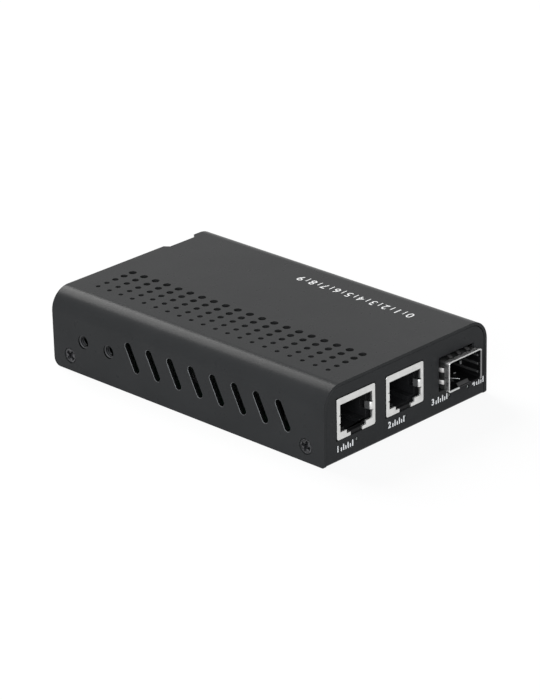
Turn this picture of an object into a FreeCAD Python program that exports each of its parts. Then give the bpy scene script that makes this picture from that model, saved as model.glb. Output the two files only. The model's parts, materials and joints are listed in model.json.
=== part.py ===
"""Fibre media converter: two copper network ports and one fibre module cage in a folded steel box.

Frame: +X to the right seen from the front, +Y from the front panel to the rear, +Z up, in
millimetres. The origin is the centre of the box's underside, midway between the side flanges and
midway between the front and rear edges of the cover.
"""

import os

import FreeCAD, Part
import Sketcher

DRIVING_SIZES = {
    # the closed box
    "housing_width": 72.0,
    "housing_length": 115.0,
    "housing_height": 25.0,
    # top cover: one folded sheet
    "cover_wall": 1.0,
    "cover_bend_radius": 7.0,
    "cover_front_corner": 1.0,
    "cover_rear_corner": 2.5,
    "notch_centre_x": 19.3,
    "notch_floor": 11.0,
    "notch_flare": 1.3,
    "notch_depth": 1.7,
    # graded vent holes in the cover's top, smallest beside the left bend
    "vent_rows": 5,
    "vent_columns": 20,
    "vent_row_pitch": 3.7,
    "vent_column_pitch": 5.115,
    "vent_side_inset": 11.65,
    "vent_front_inset": 8.95,
    "vent_least_diameter": 1.3,
    "vent_diameter_step": 0.25,
    # slanted slots in both side flanges
    "slot_count": 8,
    "slot_pitch": 9.03,
    "slot_width": 2.6,
    "slot_rise": 6.75,
    "slot_lean": 3.4,
    "slot_centre_height": 12.1,
    "slot_rear_inset": 35.45,
    # tapped holes for a rail or wall bracket, with collars drawn inwards
    "bracket_hole_diameter": 4.4,
    "bracket_rear_inset": 13.7,
    "bracket_hole_pitch": 11.3,
    "bracket_hole_height": 11.2,
    "bracket_collar_diameter": 6.2,
    "bracket_collar_depth": 1.6,
    # countersunk screws that hold the cover
    "screw_end_inset": 7.4,
    "screw_height": 5.0,
    "screw_diameter": 3.0,
    "screw_length": 4.0,
    "screw_head_diameter": 4.6,
    "screw_sink": 0.2,
    "screw_seat_gap": 0.1,
    # chassis tray: base, front and rear panel and screw ears, one folded sheet
    "tray_wall": 1.0,
    "tray_side_gap": 0.15,
    "panel_side_gap": 0.2,
    "panel_top_gap": 0.2,
    "panel_recess": 0.2,
    "panel_fold_radius": 1.1,
    "ear_length": 9.0,
    "ear_relief": 0.6,
    "ear_height": 8.2,
    "ear_fold_radius": 1.5,
    "thread_gap": 0.05,
    # circuit board on its pillars
    "board_thickness": 1.6,
    "board_end_gap": 0.3,
    "board_side_gap": 0.7,
    "board_screw_room": 0.5,
    "pillar_height": 4.4,
    "pillar_diameter": 4.4,
    "pillar_foot_flats": 5.5,
    "press_gap": 0.02,
    "pillar_side_inset": 4.0,
    "pillar_rear_inset": 10.0,
    "pillar_left_inset": 37.0,
    "pillar_middle_inset": 11.0,
    "board_screw_diameter": 3.0,
    "board_screw_length": 5.2,
    "board_screw_head_diameter": 5.4,
    "board_screw_head_height": 1.9,
    "board_hole_gap": 0.2,
    # copper jacks
    "jack_left_x": -22.2,
    "jack_middle_x": -1.0,
    "jack_width": 16.4,
    "jack_height": 13.1,
    "jack_length": 21.0,
    "jack_wall": 0.3,
    "jack_proud": 0.1,
    "jack_cutout_gap": 0.25,
    "jack_insert_gap": 0.1,
    "jack_insert_setback": 1.8,
    "window_side_border": 1.35,
    "window_top_border": 2.1,
    "window_sill": 2.35,
    "latch_step_width": 8.3,
    "latch_step_sill": 1.15,
    "latch_gap_width": 5.0,
    "ground_tab_sill": 5.0,
    "ground_tab_height": 2.4,
    "ground_tab_length": 4.0,
    "ground_tab_angle": 14.0,
    "cavity_width": 12.0,
    "cavity_depth": 13.0,
    "cavity_top": 10.6,
    "cavity_sill": 2.5,
    "latch_channel_width": 6.6,
    "latch_channel_sill": 1.2,
    "contact_count": 8,
    "contact_pitch": 1.02,
    "contact_wire": 0.4,
    "contact_run": 8.0,
    "contact_root": 2.0,
    "contact_angle": 14.0,
    "leg_width": 1.6,
    "leg_reach": 1.0,
    "leg_hole_gap": 0.15,
    "jack_leg_setback": 8.0,
    # fibre module cage
    "cage_x": 22.3,
    "cage_width": 14.3,
    "cage_height": 9.3,
    "cage_length": 48.0,
    "cage_wall": 0.3,
    "cage_corner_radius": 0.6,
    "cage_reach": 3.2,
    "cage_stand": 1.05,
    "cage_side_clearance": 0.85,
    "cage_top_clearance": 1.0,
    "cage_bottom_clearance": 0.7,
    "rim_lip": 0.3,
    "rim_depth": 0.3,
    "cage_tail_opening": 10.0,
    "cage_leg_setback": 10.0,
    "cage_leg_pitch": 26.0,
    "guide_tongue_width": 4.6,
    "guide_tongue_length": 1.6,
    "guide_tongue_angle": 24.0,
    # spring finger collar round the cage's mouth
    "collar_wall": 0.2,
    "collar_seat_gap": 0.03,
    "collar_band": 1.1,
    "finger_width": 1.6,
    "finger_pitch": 3.9,
    "finger_side_count": 2,
    "finger_top_count": 3,
    "finger_length": 5.0,
    "finger_crest": 1.25,
    "finger_panel_gap": 0.05,
    # connector inside the cage's tail
    "connector_width": 12.4,
    "connector_height": 6.2,
    "connector_length": 8.6,
    "connector_end_gap": 0.4,
    "card_slot_width": 9.8,
    "card_slot_height": 1.5,
    "card_slot_depth": 6.5,
    "card_slot_middle": 3.95,
    # status lamps on the board's underside
    "lamp_width": 2.4,
    "lamp_height": 1.5,
    "lamp_depth": 1.6,
    "lamp_lens_radius": 0.55,
    "lamp_hole_diameter": 1.2,
    "lamp_copper_offset": 0.4,
    "lamp_fibre_offset": -3.1,
    "lamp_power_offset": 5.4,
    # power socket in the rear panel
    "socket_x": 19.3,
    "socket_width": 9.0,
    "socket_height": 11.0,
    "socket_length": 14.2,
    "socket_flange": 3.4,
    "socket_shoulder": 0.9,
    "socket_panel_gap": 0.1,
    "socket_bore_diameter": 6.3,
    "socket_bore_depth": 9.6,
    "socket_axis_height": 6.5,
    "socket_panel_hole_gap": 0.4,
    "socket_pin_diameter": 2.0,
    "socket_pin_setback": 0.8,
    "socket_pin_bevel": 0.4,
    "socket_pin_shank": 1.5,
    "socket_tail": 1.0,
    "socket_leaf_width": 2.4,
    "socket_leaf_thickness": 0.4,
    "socket_leaf_reach": 0.5,
    # parts on the board
    "transformer_length": 15.0,
    "transformer_width": 7.4,
    "transformer_height": 5.6,
    "transformer_setback": 6.4,
    "transformer_lead_pitch": 1.9,
    "transformer_leads": 8,
    "lead_width": 0.6,
    "lead_reach": 1.2,
    "lead_thickness": 0.3,
    "switch_chip_side": 12.0,
    "switch_chip_x": -12.0,
    "switch_chip_y": -2.0,
    "transceiver_chip_side": 8.0,
    "transceiver_chip_x": 5.0,
    "transceiver_chip_y": -8.0,
    "chip_thickness": 0.9,
    "chip_bevel": 0.15,
    "memory_chip_x": -26.0,
    "memory_chip_y": 4.0,
    "memory_chip_length": 5.0,
    "memory_chip_width": 4.0,
    "memory_chip_height": 1.5,
    "memory_chip_pitch": 1.27,
    "memory_chip_leads": 4,
    "crystal_x": -12.0,
    "crystal_y": 12.0,
    "crystal_length": 11.2,
    "crystal_width": 4.6,
    "crystal_height": 3.5,
    "crystal_skirt": 0.4,
    "regulator_x": 8.0,
    "regulator_y": 12.0,
    "regulator_length": 6.5,
    "regulator_width": 3.5,
    "regulator_height": 1.6,
    "regulator_tab_width": 3.0,
    "regulator_lead_pitch": 2.3,
    "inductor_x": 22.0,
    "inductor_y": 8.0,
    "inductor_side": 10.0,
    "inductor_height": 4.5,
    "inductor_corner": 2.2,
    "inductor_window": 7.6,
    "inductor_window_depth": 0.5,
    "capacitor_diameter": 8.0,
    "capacitor_height": 10.5,
    "capacitor_bevel": 0.5,
    "input_capacitor_x": 4.0,
    "input_capacitor_rear_inset": 16.0,
    "output_capacitor_x": 8.0,
    "output_capacitor_rear_inset": 30.0,
}

# Small round things that repeat are made with flats, so that they have few faces.
SMALL_ROUND_FLATS = 12
VENT_FLATS = 8

doc = FreeCAD.newDocument("fibre_media_converter")
sheet = doc.addObject("Spreadsheet::Sheet", "sizes")
for row, (alias, number) in enumerate(DRIVING_SIZES.items(), start=1):
    sheet.set(f"A{row}", alias)
    sheet.set(f"B{row}", str(number))
    sheet.setAlias(f"B{row}", alias)
doc.recompute()


# --------------------------------------------------------------------------- expressions

def size(alias):
    """The expression that reads one driving size."""
    return "sizes." + alias


def put(text):
    """An expression from driving sizes: every word that is a size's name reads its cell."""
    words = []
    for word in text.replace("(", " ( ").replace(")", " ) ").split():
        words.append(size(word) if word in DRIVING_SIZES else word)
    return "(" + " ".join(words) + ")"


def value(expression):
    """The number that an expression gives now."""
    return float(sheet.evalExpression(expression))


HALF_WIDTH = put("housing_width / 2")
HALF_LENGTH = put("housing_length / 2")
FLANGE_INSIDE = put("housing_width / 2 - cover_wall")
EAR_FACE = put("housing_width / 2 - cover_wall - tray_side_gap")
PANEL_HALF_WIDTH = put("housing_width / 2 - cover_wall - panel_side_gap")
PANEL_TOP = put("housing_height - cover_wall - panel_top_gap")
PANEL_FACE = put("housing_length / 2 - panel_recess")
PANEL_BACK = put("housing_length / 2 - panel_recess - tray_wall")
TRAY_CUT = put("3 * tray_wall")
CAGE_CUT = put("3 * cage_wall")
LEAD_HEIGHT = put("2 * lead_thickness")
BOARD_BOTTOM = put("tray_wall + pillar_height")
BOARD_TOP = put("tray_wall + pillar_height + board_thickness")
BOARD_END = put("housing_length / 2 - panel_recess - tray_wall - board_end_gap")
BOARD_SIDE = put("housing_width / 2 - cover_wall - tray_side_gap - tray_wall - board_side_gap")
SCREW_Y = put("housing_length / 2 - screw_end_inset")
JACK_FACE = f"(-{PANEL_FACE} - sizes.jack_proud)"
CAGE_MOUTH = f"(-{HALF_LENGTH} - sizes.cage_reach)"
CAGE_BOTTOM = f"({BOARD_TOP} + sizes.cage_stand)"
CAGE_MIDDLE = f"({CAGE_BOTTOM} + sizes.cage_height / 2)"
LAMP_HEIGHT = f"({BOARD_BOTTOM} - sizes.lamp_height / 2)"
SOCKET_FACE = f"({PANEL_BACK} - sizes.socket_panel_gap)"
SOCKET_AXIS = f"({BOARD_TOP} + sizes.socket_axis_height)"
PILLAR_SIDE = f"({BOARD_SIDE} - sizes.pillar_side_inset)"
PILLAR_REAR = f"({BOARD_END} - sizes.pillar_rear_inset)"
BETWEEN_PORTS = put("(jack_middle_x + jack_width / 2 + cage_x - cage_width / 2) / 2")
PILLARS = (
    (f"(-{PILLAR_SIDE})", PILLAR_REAR),
    (PILLAR_SIDE, PILLAR_REAR),
    (f"(-{PILLAR_SIDE})", f"(sizes.pillar_left_inset - {BOARD_END})"),
    (BETWEEN_PORTS, f"(sizes.pillar_middle_inset - {BOARD_END})"),
)
JACKS = {"left": size("jack_left_x"), "middle": size("jack_middle_x")}
LAMPS = (
    f"({size('jack_left_x')} + {size('lamp_copper_offset')})",
    f"({size('jack_middle_x')} + {size('lamp_copper_offset')})",
    f"({size('cage_x')} + {size('lamp_fibre_offset')})",
    f"({size('cage_x')} + {size('lamp_power_offset')})",
)


# --------------------------------------------------------------------------- Part objects

def bind(thing, **expressions):
    """Ties properties to expressions; at_x, at_y and at_z are the object's place."""
    for name, expression in expressions.items():
        target = "Placement.Base." + name[-1] if name.startswith("at_") else name
        thing.setExpression(target, expression)
    return thing


def block(name, low, extent):
    """A box from its lowest corner and its three extents, all expressions."""
    box = doc.addObject("Part::Box", name)
    bind(box, Length=extent[0], Width=extent[1], Height=extent[2])
    return bind(box, at_x=low[0], at_y=low[1], at_z=low[2])


def centred_block(name, centre_x, low_y, low_z, extent):
    """A box that is centred on its X and placed by its lowest Y and Z."""
    return block(name, (f"{centre_x} - ({extent[0]}) / 2", low_y, low_z), extent)


AXIS_TURNS = {
    "x": FreeCAD.Rotation(FreeCAD.Vector(0, 1, 0), 90),
    "y": FreeCAD.Rotation(FreeCAD.Vector(1, 0, 0), -90),
    "z": FreeCAD.Rotation(),
}


def rod(name, axis, centre, radius, length):
    """A cylinder that starts at centre and runs along +axis."""
    cylinder = doc.addObject("Part::Cylinder", name)
    cylinder.Placement = FreeCAD.Placement(FreeCAD.Vector(), AXIS_TURNS[axis])
    bind(cylinder, Radius=radius, Height=length)
    return bind(cylinder, at_x=centre[0], at_y=centre[1], at_z=centre[2])


def small_rod(name, axis, centre, radius, length):
    """A small cylinder with flats that starts at centre and runs along +axis."""
    prism = doc.addObject("Part::Prism", name)
    prism.Polygon = SMALL_ROUND_FLATS
    prism.Placement = FreeCAD.Placement(FreeCAD.Vector(), AXIS_TURNS[axis])
    bind(prism, Circumradius=radius, Height=length)
    return bind(prism, at_x=centre[0], at_y=centre[1], at_z=centre[2])


def cone(name, turn, centre, first_radius, second_radius, length):
    """A cone that starts at centre with first_radius and ends with second_radius."""
    solid = doc.addObject("Part::Cone", name)
    solid.Placement = FreeCAD.Placement(FreeCAD.Vector(), turn)
    bind(solid, Radius1=first_radius, Radius2=second_radius, Height=length)
    return bind(solid, at_x=centre[0], at_y=centre[1], at_z=centre[2])


def join(name, shapes):
    fused = doc.addObject("Part::MultiFuse", name)
    fused.Shapes = shapes
    fused.Refine = True
    return fused


def carve(name, base, tools):
    tool = tools[0] if len(tools) == 1 else join(name + "_tools", tools)
    result = doc.addObject("Part::Cut", name)
    result.Base, result.Tool = base, tool
    return result


def group(name, solids):
    compound = doc.addObject("Part::Compound", name)
    compound.Links = solids
    return compound


def edge_names(shape, wanted):
    """The names of the edges whose two ends and middle pass the test."""
    names = []
    for number, edge in enumerate(shape.Edges, start=1):
        middle = edge.valueAt((edge.FirstParameter + edge.LastParameter) / 2)
        if wanted(edge, middle):
            names.append(f"Edge{number}")
    return names


def is_along(edge, axis):
    """True for a straight edge that runs along the given axis."""
    if edge.Curve.TypeId != "Part::GeomLine":
        return False
    direction = edge.Curve.Direction
    return abs(abs(getattr(direction, axis)) - 1) < 1e-6


def round_edges(name, base, radius, wanted):
    """A Part fillet on the chosen edges of a Part object."""
    doc.recompute()
    fillet = doc.addObject("Part::Fillet", name)
    fillet.Base = base
    amount = value(radius)
    chosen = edge_names(base.Shape, wanted)
    fillet.Edges = [(int(edge[4:]), amount, amount) for edge in chosen]
    return fillet


# --------------------------------------------------------------------------- PartDesign

class Body:
    """A PartDesign body with short calls for the features that folded sheets need."""

    def __init__(self, name):
        self.body = doc.addObject("PartDesign::Body", name)
        self.name = name
        self.count = 0

    def origin(self, role):
        return next(f for f in self.body.Origin.OriginFeatures if f.Role == role)

    def sketch(self, plane, purpose, offset=None):
        """A sketch on an origin plane, moved along the plane's normal by offset."""
        sketch = self.body.newObject("Sketcher::SketchObject", f"{self.name}_{purpose}_sketch")
        sketch.AttachmentSupport = [(self.origin(plane), "")]
        sketch.MapMode = "FlatFace"
        if offset is not None:
            sketch.setExpression("AttachmentOffset.Base.z", offset)
        return sketch

    def feature(self, kind, purpose, sketch=None, **expressions):
        made = self.body.newObject("PartDesign::" + kind, f"{self.name}_{purpose}")
        if sketch is not None:
            made.Profile = sketch
            sketch.Visibility = False
        for name, expression in expressions.items():
            made.setExpression(name, expression)
        return made

    def pad(self, purpose, sketch, length):
        """A pad that runs equally to both sides of its sketch."""
        made = self.feature("Pad", purpose, sketch, Length=length)
        made.Midplane = True
        return made

    def cut_through(self, purpose, sketch):
        """A pocket through everything on both sides of its sketch."""
        before = self.volume()
        made = self.feature("Pocket", purpose, sketch)
        made.Type = "ThroughAll"
        made.Midplane = True
        self.must_remove(before, made)
        return made

    def pocket(self, purpose, sketch, depth):
        """A pocket of stated depth, both ways from its sketch together."""
        before = self.volume()
        made = self.feature("Pocket", purpose, sketch, Length=depth)
        made.Midplane = True
        self.must_remove(before, made)
        return made

    def volume(self):
        doc.recompute()
        return self.body.Shape.Volume

    def must_remove(self, before, made):
        if not self.volume() < before - 1e-6:
            raise RuntimeError(made.Name + " removed nothing")

    def fillet(self, purpose, radius, wanted):
        doc.recompute()
        base = self.body.Tip
        made = self.feature("Fillet", purpose, Radius=radius)
        made.Base = (base, edge_names(base.Shape, wanted))
        return made

    def row(self, purpose, original, count, pitch, towards_front=False):
        """A linear pattern of one feature along the body's Y axis."""
        doc.recompute()
        made = self.feature("LinearPattern", purpose)
        made.Originals = [original]
        made.Direction = (self.origin("Y_Axis"), [""])
        made.Reversed = towards_front
        made.setExpression("Occurrences", count)
        made.setExpression("Length", f"{pitch} * ({count} - 1)")
        self.body.Tip = made
        return made


def closed_outline(sketch, points):
    """Straight lines through the points, each point held by two bound distances."""
    count = len(points)
    numbers = [(value(x), value(y)) for x, y in points]
    lines = []
    for index in range(count):
        start = FreeCAD.Vector(*numbers[index], 0)
        end = FreeCAD.Vector(*numbers[(index + 1) % count], 0)
        lines.append(sketch.addGeometry(Part.LineSegment(start, end), False))
    for index, line in enumerate(lines):
        following = lines[(index + 1) % count]
        sketch.addConstraint(Sketcher.Constraint("Coincident", line, 2, following, 1))
    for line, number, (x, y) in zip(lines, numbers, points):
        hold_point(sketch, line, 1, number, x, y)


def hold_point(sketch, geometry, end, number, x, y):
    """Binds one point's two distances from the sketch's origin."""
    for kind, amount, expression in (("DistanceX", number[0], x), ("DistanceY", number[1], y)):
        held = sketch.addConstraint(Sketcher.Constraint(kind, -1, 1, geometry, end, amount))
        sketch.setExpression(f"Constraints[{held}]", expression)


def add_circle(sketch, x, y, radius):
    centre = (value(x), value(y))
    circle = Part.Circle(FreeCAD.Vector(*centre, 0), FreeCAD.Vector(0, 0, 1), value(radius))
    geometry = sketch.addGeometry(circle, False)
    held = sketch.addConstraint(Sketcher.Constraint("Radius", geometry, value(radius)))
    sketch.setExpression(f"Constraints[{held}]", radius)
    hold_point(sketch, geometry, 3, centre, x, y)


def add_small_round(sketch, x, y, radius, flats=SMALL_ROUND_FLATS):
    """A small round outline with flats."""
    turns = [number * 360 / flats for number in range(flats)]
    closed_outline(sketch, [
        (f"{x} + {radius} * cos({turn} deg)", f"{y} + {radius} * sin({turn} deg)")
        for turn in turns
    ])


def rectangle(sketch, low_x, low_y, high_x, high_y):
    corners = ((low_x, low_y), (high_x, low_y), (high_x, high_y), (low_x, high_y))
    closed_outline(sketch, corners)


# --------------------------------------------------------------------------- folded housing

def top_cover():
    cover = Body("top_cover")
    inner_top = put("housing_height - cover_wall")
    profile = cover.sketch("XZ_Plane", "fold")
    closed_outline(profile, (
        (f"-{HALF_WIDTH}", "0"),
        (f"-{HALF_WIDTH}", size("housing_height")),
        (HALF_WIDTH, size("housing_height")),
        (HALF_WIDTH, "0"),
        (FLANGE_INSIDE, "0"),
        (FLANGE_INSIDE, inner_top),
        (f"-{FLANGE_INSIDE}", inner_top),
        (f"-{FLANGE_INSIDE}", "0"),
    ))
    cover.pad("sheet", profile, size("housing_length"))
    height, half = value(size("housing_height")), value(HALF_WIDTH)
    wall, end = value(size("cover_wall")), value(HALF_LENGTH)

    def outer_bend(edge, middle):
        return is_along(edge, "y") and middle.z > height - 1e-3

    def inner_bend(edge, middle):
        return is_along(edge, "y") and abs(middle.z - height + wall) < 1e-3 and (
            abs(abs(middle.x) - half + wall) < 1e-3)

    def flange_corner(edge, middle, side):
        return is_along(edge, "x") and middle.z < 1e-3 and abs(middle.y - side * end) < 1e-3

    cover.fillet("outer_bends", size("cover_bend_radius"), outer_bend)
    cover.fillet("inner_bends", put("cover_bend_radius - cover_wall"), inner_bend)
    cover.fillet("front_corners", size("cover_front_corner"),
                 lambda edge, middle: flange_corner(edge, middle, -1))
    cover.fillet("rear_corners", size("cover_rear_corner"),
                 lambda edge, middle: flange_corner(edge, middle, 1))
    cover_collars(cover)
    cover_holes(cover)
    cover_screw_seats(cover)
    cover_vents(cover)
    return cover.body


def cover_collars(cover):
    """Round collars drawn inwards behind the tapped bracket holes, on both flanges."""
    for side in (-1, 1):
        middle = f"{side} * ({FLANGE_INSIDE} - {size('bracket_collar_depth')} / 2)"
        name = "left" if side < 0 else "right"
        sketch = cover.sketch("YZ_Plane", f"{name}_collar", middle)
        for step in (0, 1):
            place = f"({HALF_LENGTH} - sizes.bracket_rear_inset - {step} * sizes.bracket_hole_pitch)"
            add_small_round(sketch, place, size("bracket_hole_height"),
                            put("bracket_collar_diameter / 2"))
        cover.pad(f"{name}_collars", sketch, size("bracket_collar_depth"))


def cover_holes(cover):
    """What is punched in the cover, other than the vents."""
    bracket = cover.sketch("YZ_Plane", "bracket")
    for step in (0, 1):
        place = f"({HALF_LENGTH} - sizes.bracket_rear_inset - {step} * sizes.bracket_hole_pitch)"
        add_circle(bracket, place, size("bracket_hole_height"), put("bracket_hole_diameter / 2"))
    cover.cut_through("bracket_holes", bracket)

    slot = cover.sketch("YZ_Plane", "slot")
    slanted_slot(slot)
    first = cover.cut_through("slot", slot)
    cover.row("slots", first, size("slot_count"), size("slot_pitch"), towards_front=True)

    notch = cover.sketch("XY_Plane", "notch")
    floor_half = put("notch_floor / 2")
    mouth_half = put("notch_floor / 2 + notch_flare")
    floor_y = f"({HALF_LENGTH} - sizes.notch_depth)"
    beyond = f"({HALF_LENGTH} + sizes.notch_depth)"
    middle = size("notch_centre_x")
    closed_outline(notch, (
        (f"{middle} - {floor_half}", floor_y),
        (f"{middle} + {floor_half}", floor_y),
        (f"{middle} + {mouth_half}", HALF_LENGTH),
        (f"{middle} + {mouth_half}", beyond),
        (f"{middle} - {mouth_half}", beyond),
        (f"{middle} - {mouth_half}", HALF_LENGTH),
    ))
    cover.cut_through("notch", notch)

    screw_hole = cover.sketch("YZ_Plane", "screw_hole")
    for end in ("-", ""):
        add_circle(screw_hole, f"{end}{SCREW_Y}", size("screw_height"),
                   put("screw_diameter / 2 + screw_seat_gap"))
    cover.cut_through("screw_holes", screw_hole)


def slanted_slot(sketch):
    """A slot with round ends whose lower end lies nearer the front than its upper end."""
    centre_y = f"({HALF_LENGTH} - sizes.slot_rear_inset)"
    centre_z = size("slot_centre_height")
    run = put("(slot_lean ^ 2 + slot_rise ^ 2) ^ 0.5")
    radius = put("slot_width / 2")
    steps = SMALL_ROUND_FLATS // 2
    points = []
    for end in (1, -1):
        for number in range(steps + 1):
            turn = number * 180 / steps - 90
            along = f"({end} * ({run} / 2 + {radius} * cos({turn} deg)) / {run})"
            across = f"({end} * {radius} * sin({turn} deg) / {run})"
            points.append((
                f"{centre_y} + {along} * sizes.slot_lean - {across} * sizes.slot_rise",
                f"{centre_z} + {along} * sizes.slot_rise + {across} * sizes.slot_lean",
            ))
    closed_outline(sketch, points)


def cover_vents(cover):
    """One column of holes that grow towards the middle, repeated along the whole top."""
    column = cover.sketch("XY_Plane", "vent_column")
    for number in range(int(value(size("vent_rows")))):
        x = f"(-{HALF_WIDTH} + sizes.vent_side_inset + {number} * sizes.vent_row_pitch)"
        y = f"(-{HALF_LENGTH} + sizes.vent_front_inset)"
        radius = f"((sizes.vent_least_diameter + {number} * sizes.vent_diameter_step) / 2)"
        add_small_round(column, x, y, radius, VENT_FLATS)
    holes = cover.cut_through("vent_column", column)
    cover.row("vents", holes, size("vent_columns"), size("vent_column_pitch"))


SCREW_PLACES = ((-1, -1), (-1, 1), (1, -1), (1, 1))
HEAD_DEPTH = put("(screw_head_diameter - screw_diameter) / 2")


def cover_screw_seats(cover):
    """A cone for each screw head: it starts on the flange's face and narrows to the hole."""
    narrow = put("screw_diameter / 2 + screw_seat_gap")
    depth = f"({HEAD_DEPTH} + sizes.screw_sink)"
    for number, (side, end) in enumerate(SCREW_PLACES, start=1):
        seat = cover.feature("SubtractiveCone", f"screw_seat_{number}")
        turn = FreeCAD.Rotation(FreeCAD.Vector(0, 1, 0), -90 * side)
        seat.Placement = FreeCAD.Placement(FreeCAD.Vector(), turn)
        bind(seat, Radius1=f"{narrow} + {depth}", Radius2=narrow, Height=depth,
             at_x=f"{side} * {HALF_WIDTH}", at_y=f"{end} * {SCREW_Y}", at_z=size("screw_height"))


def cover_screws():
    """Four countersunk screws, two in each flange."""
    screws = []
    for number, (side, end) in enumerate(SCREW_PLACES, start=1):
        name = f"cover_screw_{number}"
        turn = FreeCAD.Rotation(FreeCAD.Vector(0, 1, 0), -90 * side)
        head_x = f"{side} * ({HALF_WIDTH} - sizes.screw_sink)"
        y, z = f"{end} * {SCREW_Y}", size("screw_height")
        head = cone(name + "_head", turn, (head_x, y, z), put("screw_head_diameter / 2"),
                    put("screw_diameter / 2"), HEAD_DEPTH)
        tip = f"({side} * ({HALF_WIDTH} - sizes.screw_sink) - {(side + 1) // 2} * sizes.screw_length)"
        shank = small_rod(name + "_shank", "x", (tip, y, z), put("screw_diameter / 2"),
                          size("screw_length"))
        screws.append(join(name, [head, shank]))
    return group("cover_screws_part", screws)


def chassis_tray():
    """Base with both panels folded up from it, then the ears, then every cut-out."""
    tray = Body("chassis_tray")
    profile = tray.sketch("YZ_Plane", "fold")
    wall = size("tray_wall")
    closed_outline(profile, (
        (f"-{PANEL_FACE}", "0"),
        (PANEL_FACE, "0"),
        (PANEL_FACE, PANEL_TOP),
        (PANEL_BACK, PANEL_TOP),
        (PANEL_BACK, wall),
        (f"-{PANEL_BACK}", wall),
        (f"-{PANEL_BACK}", PANEL_TOP),
        (f"-{PANEL_FACE}", PANEL_TOP),
    ))
    tray.pad("sheet", profile, f"2 * {PANEL_HALF_WIDTH}")
    face, back, thick = value(PANEL_FACE), value(PANEL_BACK), value(wall)
    top, half = value(PANEL_TOP), value(PANEL_HALF_WIDTH)

    def outer_fold(edge, middle):
        return is_along(edge, "x") and middle.z < 1e-3 and abs(abs(middle.y) - face) < 1e-3

    def inner_fold(edge, middle):
        return (is_along(edge, "x") and abs(middle.z - thick) < 1e-3
                and abs(abs(middle.y) - back) < 1e-3)

    def panel_corner(edge, middle):
        return (is_along(edge, "y") and abs(middle.z - top) < 1e-3
                and abs(abs(middle.x) - half) < 1e-3)

    tray.fillet("outer_folds", size("panel_fold_radius"), outer_fold)
    tray.fillet("inner_folds", put("panel_fold_radius - tray_wall"), inner_fold)
    tray.fillet("panel_corners", put("cover_bend_radius - cover_wall - panel_top_gap"),
                panel_corner)
    ear_reliefs(tray)
    tray_ears(tray)
    tray_cutouts(tray)
    return tray.body


def ear_reliefs(tray):
    """Each ear's stretch of the base is cut back to its fold line, with a relief at both ends."""
    sketch = tray.sketch("XY_Plane", "ear_relief")
    fold_line = f"({EAR_FACE} - sizes.ear_fold_radius)"
    half = put("ear_length / 2 + ear_relief")
    for side, end in SCREW_PLACES:
        middle = f"{end} * {SCREW_Y}"
        near, far = f"{side} * {fold_line}", f"{side} * {HALF_WIDTH}"
        rectangle(sketch, near, f"{middle} - {half}", far, f"{middle} + {half}")
    tray.pocket("ear_reliefs", sketch, TRAY_CUT)


def tray_ears(tray):
    """Four ears folded up from the base's long edges, one behind each cover screw."""
    radius, wall = size("ear_fold_radius"), size("tray_wall")
    for number, (side, end) in enumerate(SCREW_PLACES, start=1):
        middle = f"{-end} * {SCREW_Y}"
        sketch = tray.sketch("XZ_Plane", f"ear_{number}", middle)
        edge = f"{side} * ({EAR_FACE} - {radius})"
        closed_outline(sketch, (
            (edge, "0"),
            (f"{side} * {EAR_FACE}", "0"),
            (f"{side} * {EAR_FACE}", size("ear_height")),
            (f"{side} * ({EAR_FACE} - {wall})", size("ear_height")),
            (f"{side} * ({EAR_FACE} - {wall})", wall),
            (edge, wall),
        ))
        tray.pad(f"ear_{number}", sketch, size("ear_length"))
    face, thick = value(EAR_FACE), value(wall)

    def outer_fold(edge, middle):
        return (is_along(edge, "y") and middle.z < 1e-3 and abs(abs(middle.x) - face) < 1e-3)

    def inner_fold(edge, middle):
        return (is_along(edge, "y") and abs(middle.z - thick) < 1e-3
                and abs(abs(middle.x) - face + thick) < 1e-3)

    tray.fillet("outer_ear_folds", radius, outer_fold)
    tray.fillet("inner_ear_folds", f"{radius} - {wall}", inner_fold)


def tray_cutouts(tray):
    """Port openings and lamp holes in the front, the socket hole in the rear, round holes."""
    middle = f"({PANEL_FACE} - sizes.tray_wall / 2)"
    front = tray.sketch("XZ_Plane", "ports", middle)
    gap = size("jack_cutout_gap")
    for x in JACKS.values():
        half = f"(sizes.jack_width / 2 + {gap})"
        rectangle(front, f"{x} - {half}", f"{BOARD_TOP} - {gap}",
                  f"{x} + {half}", f"{BOARD_TOP} + sizes.jack_height + {gap}")
    tray.pocket("jack_openings", front, TRAY_CUT)

    cage = tray.sketch("XZ_Plane", "cage", middle)
    half = put("cage_width / 2 + cage_side_clearance")
    rectangle(cage, f"sizes.cage_x - {half}", f"{CAGE_BOTTOM} - sizes.cage_bottom_clearance",
              f"sizes.cage_x + {half}",
              f"{CAGE_BOTTOM} + sizes.cage_height + sizes.cage_top_clearance")
    tray.pocket("cage_opening", cage, TRAY_CUT)

    lamps = tray.sketch("XZ_Plane", "lamps", middle)
    for x in LAMPS:
        add_small_round(lamps, x, LAMP_HEIGHT, put("lamp_hole_diameter / 2"))
    tray.pocket("lamp_holes", lamps, TRAY_CUT)

    socket = tray.sketch("XZ_Plane", "socket", f"-{middle}")
    add_circle(socket, size("socket_x"), SOCKET_AXIS,
               put("socket_bore_diameter / 2 + socket_panel_hole_gap"))
    tray.pocket("socket_hole", socket, TRAY_CUT)

    ears = tray.sketch("YZ_Plane", "ear_holes")
    for end in ("-", ""):
        add_small_round(ears, f"{end}{SCREW_Y}", size("screw_height"),
                        put("screw_diameter / 2 + thread_gap"))
    tray.cut_through("ear_holes", ears)

    base = tray.sketch("XY_Plane", "pillar_holes")
    for x, y in PILLARS:
        closed_outline(base, hexagon(x, y, put("pillar_foot_flats + 2 * press_gap")))
    tray.pocket("pillar_holes", base, TRAY_CUT)


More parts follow.
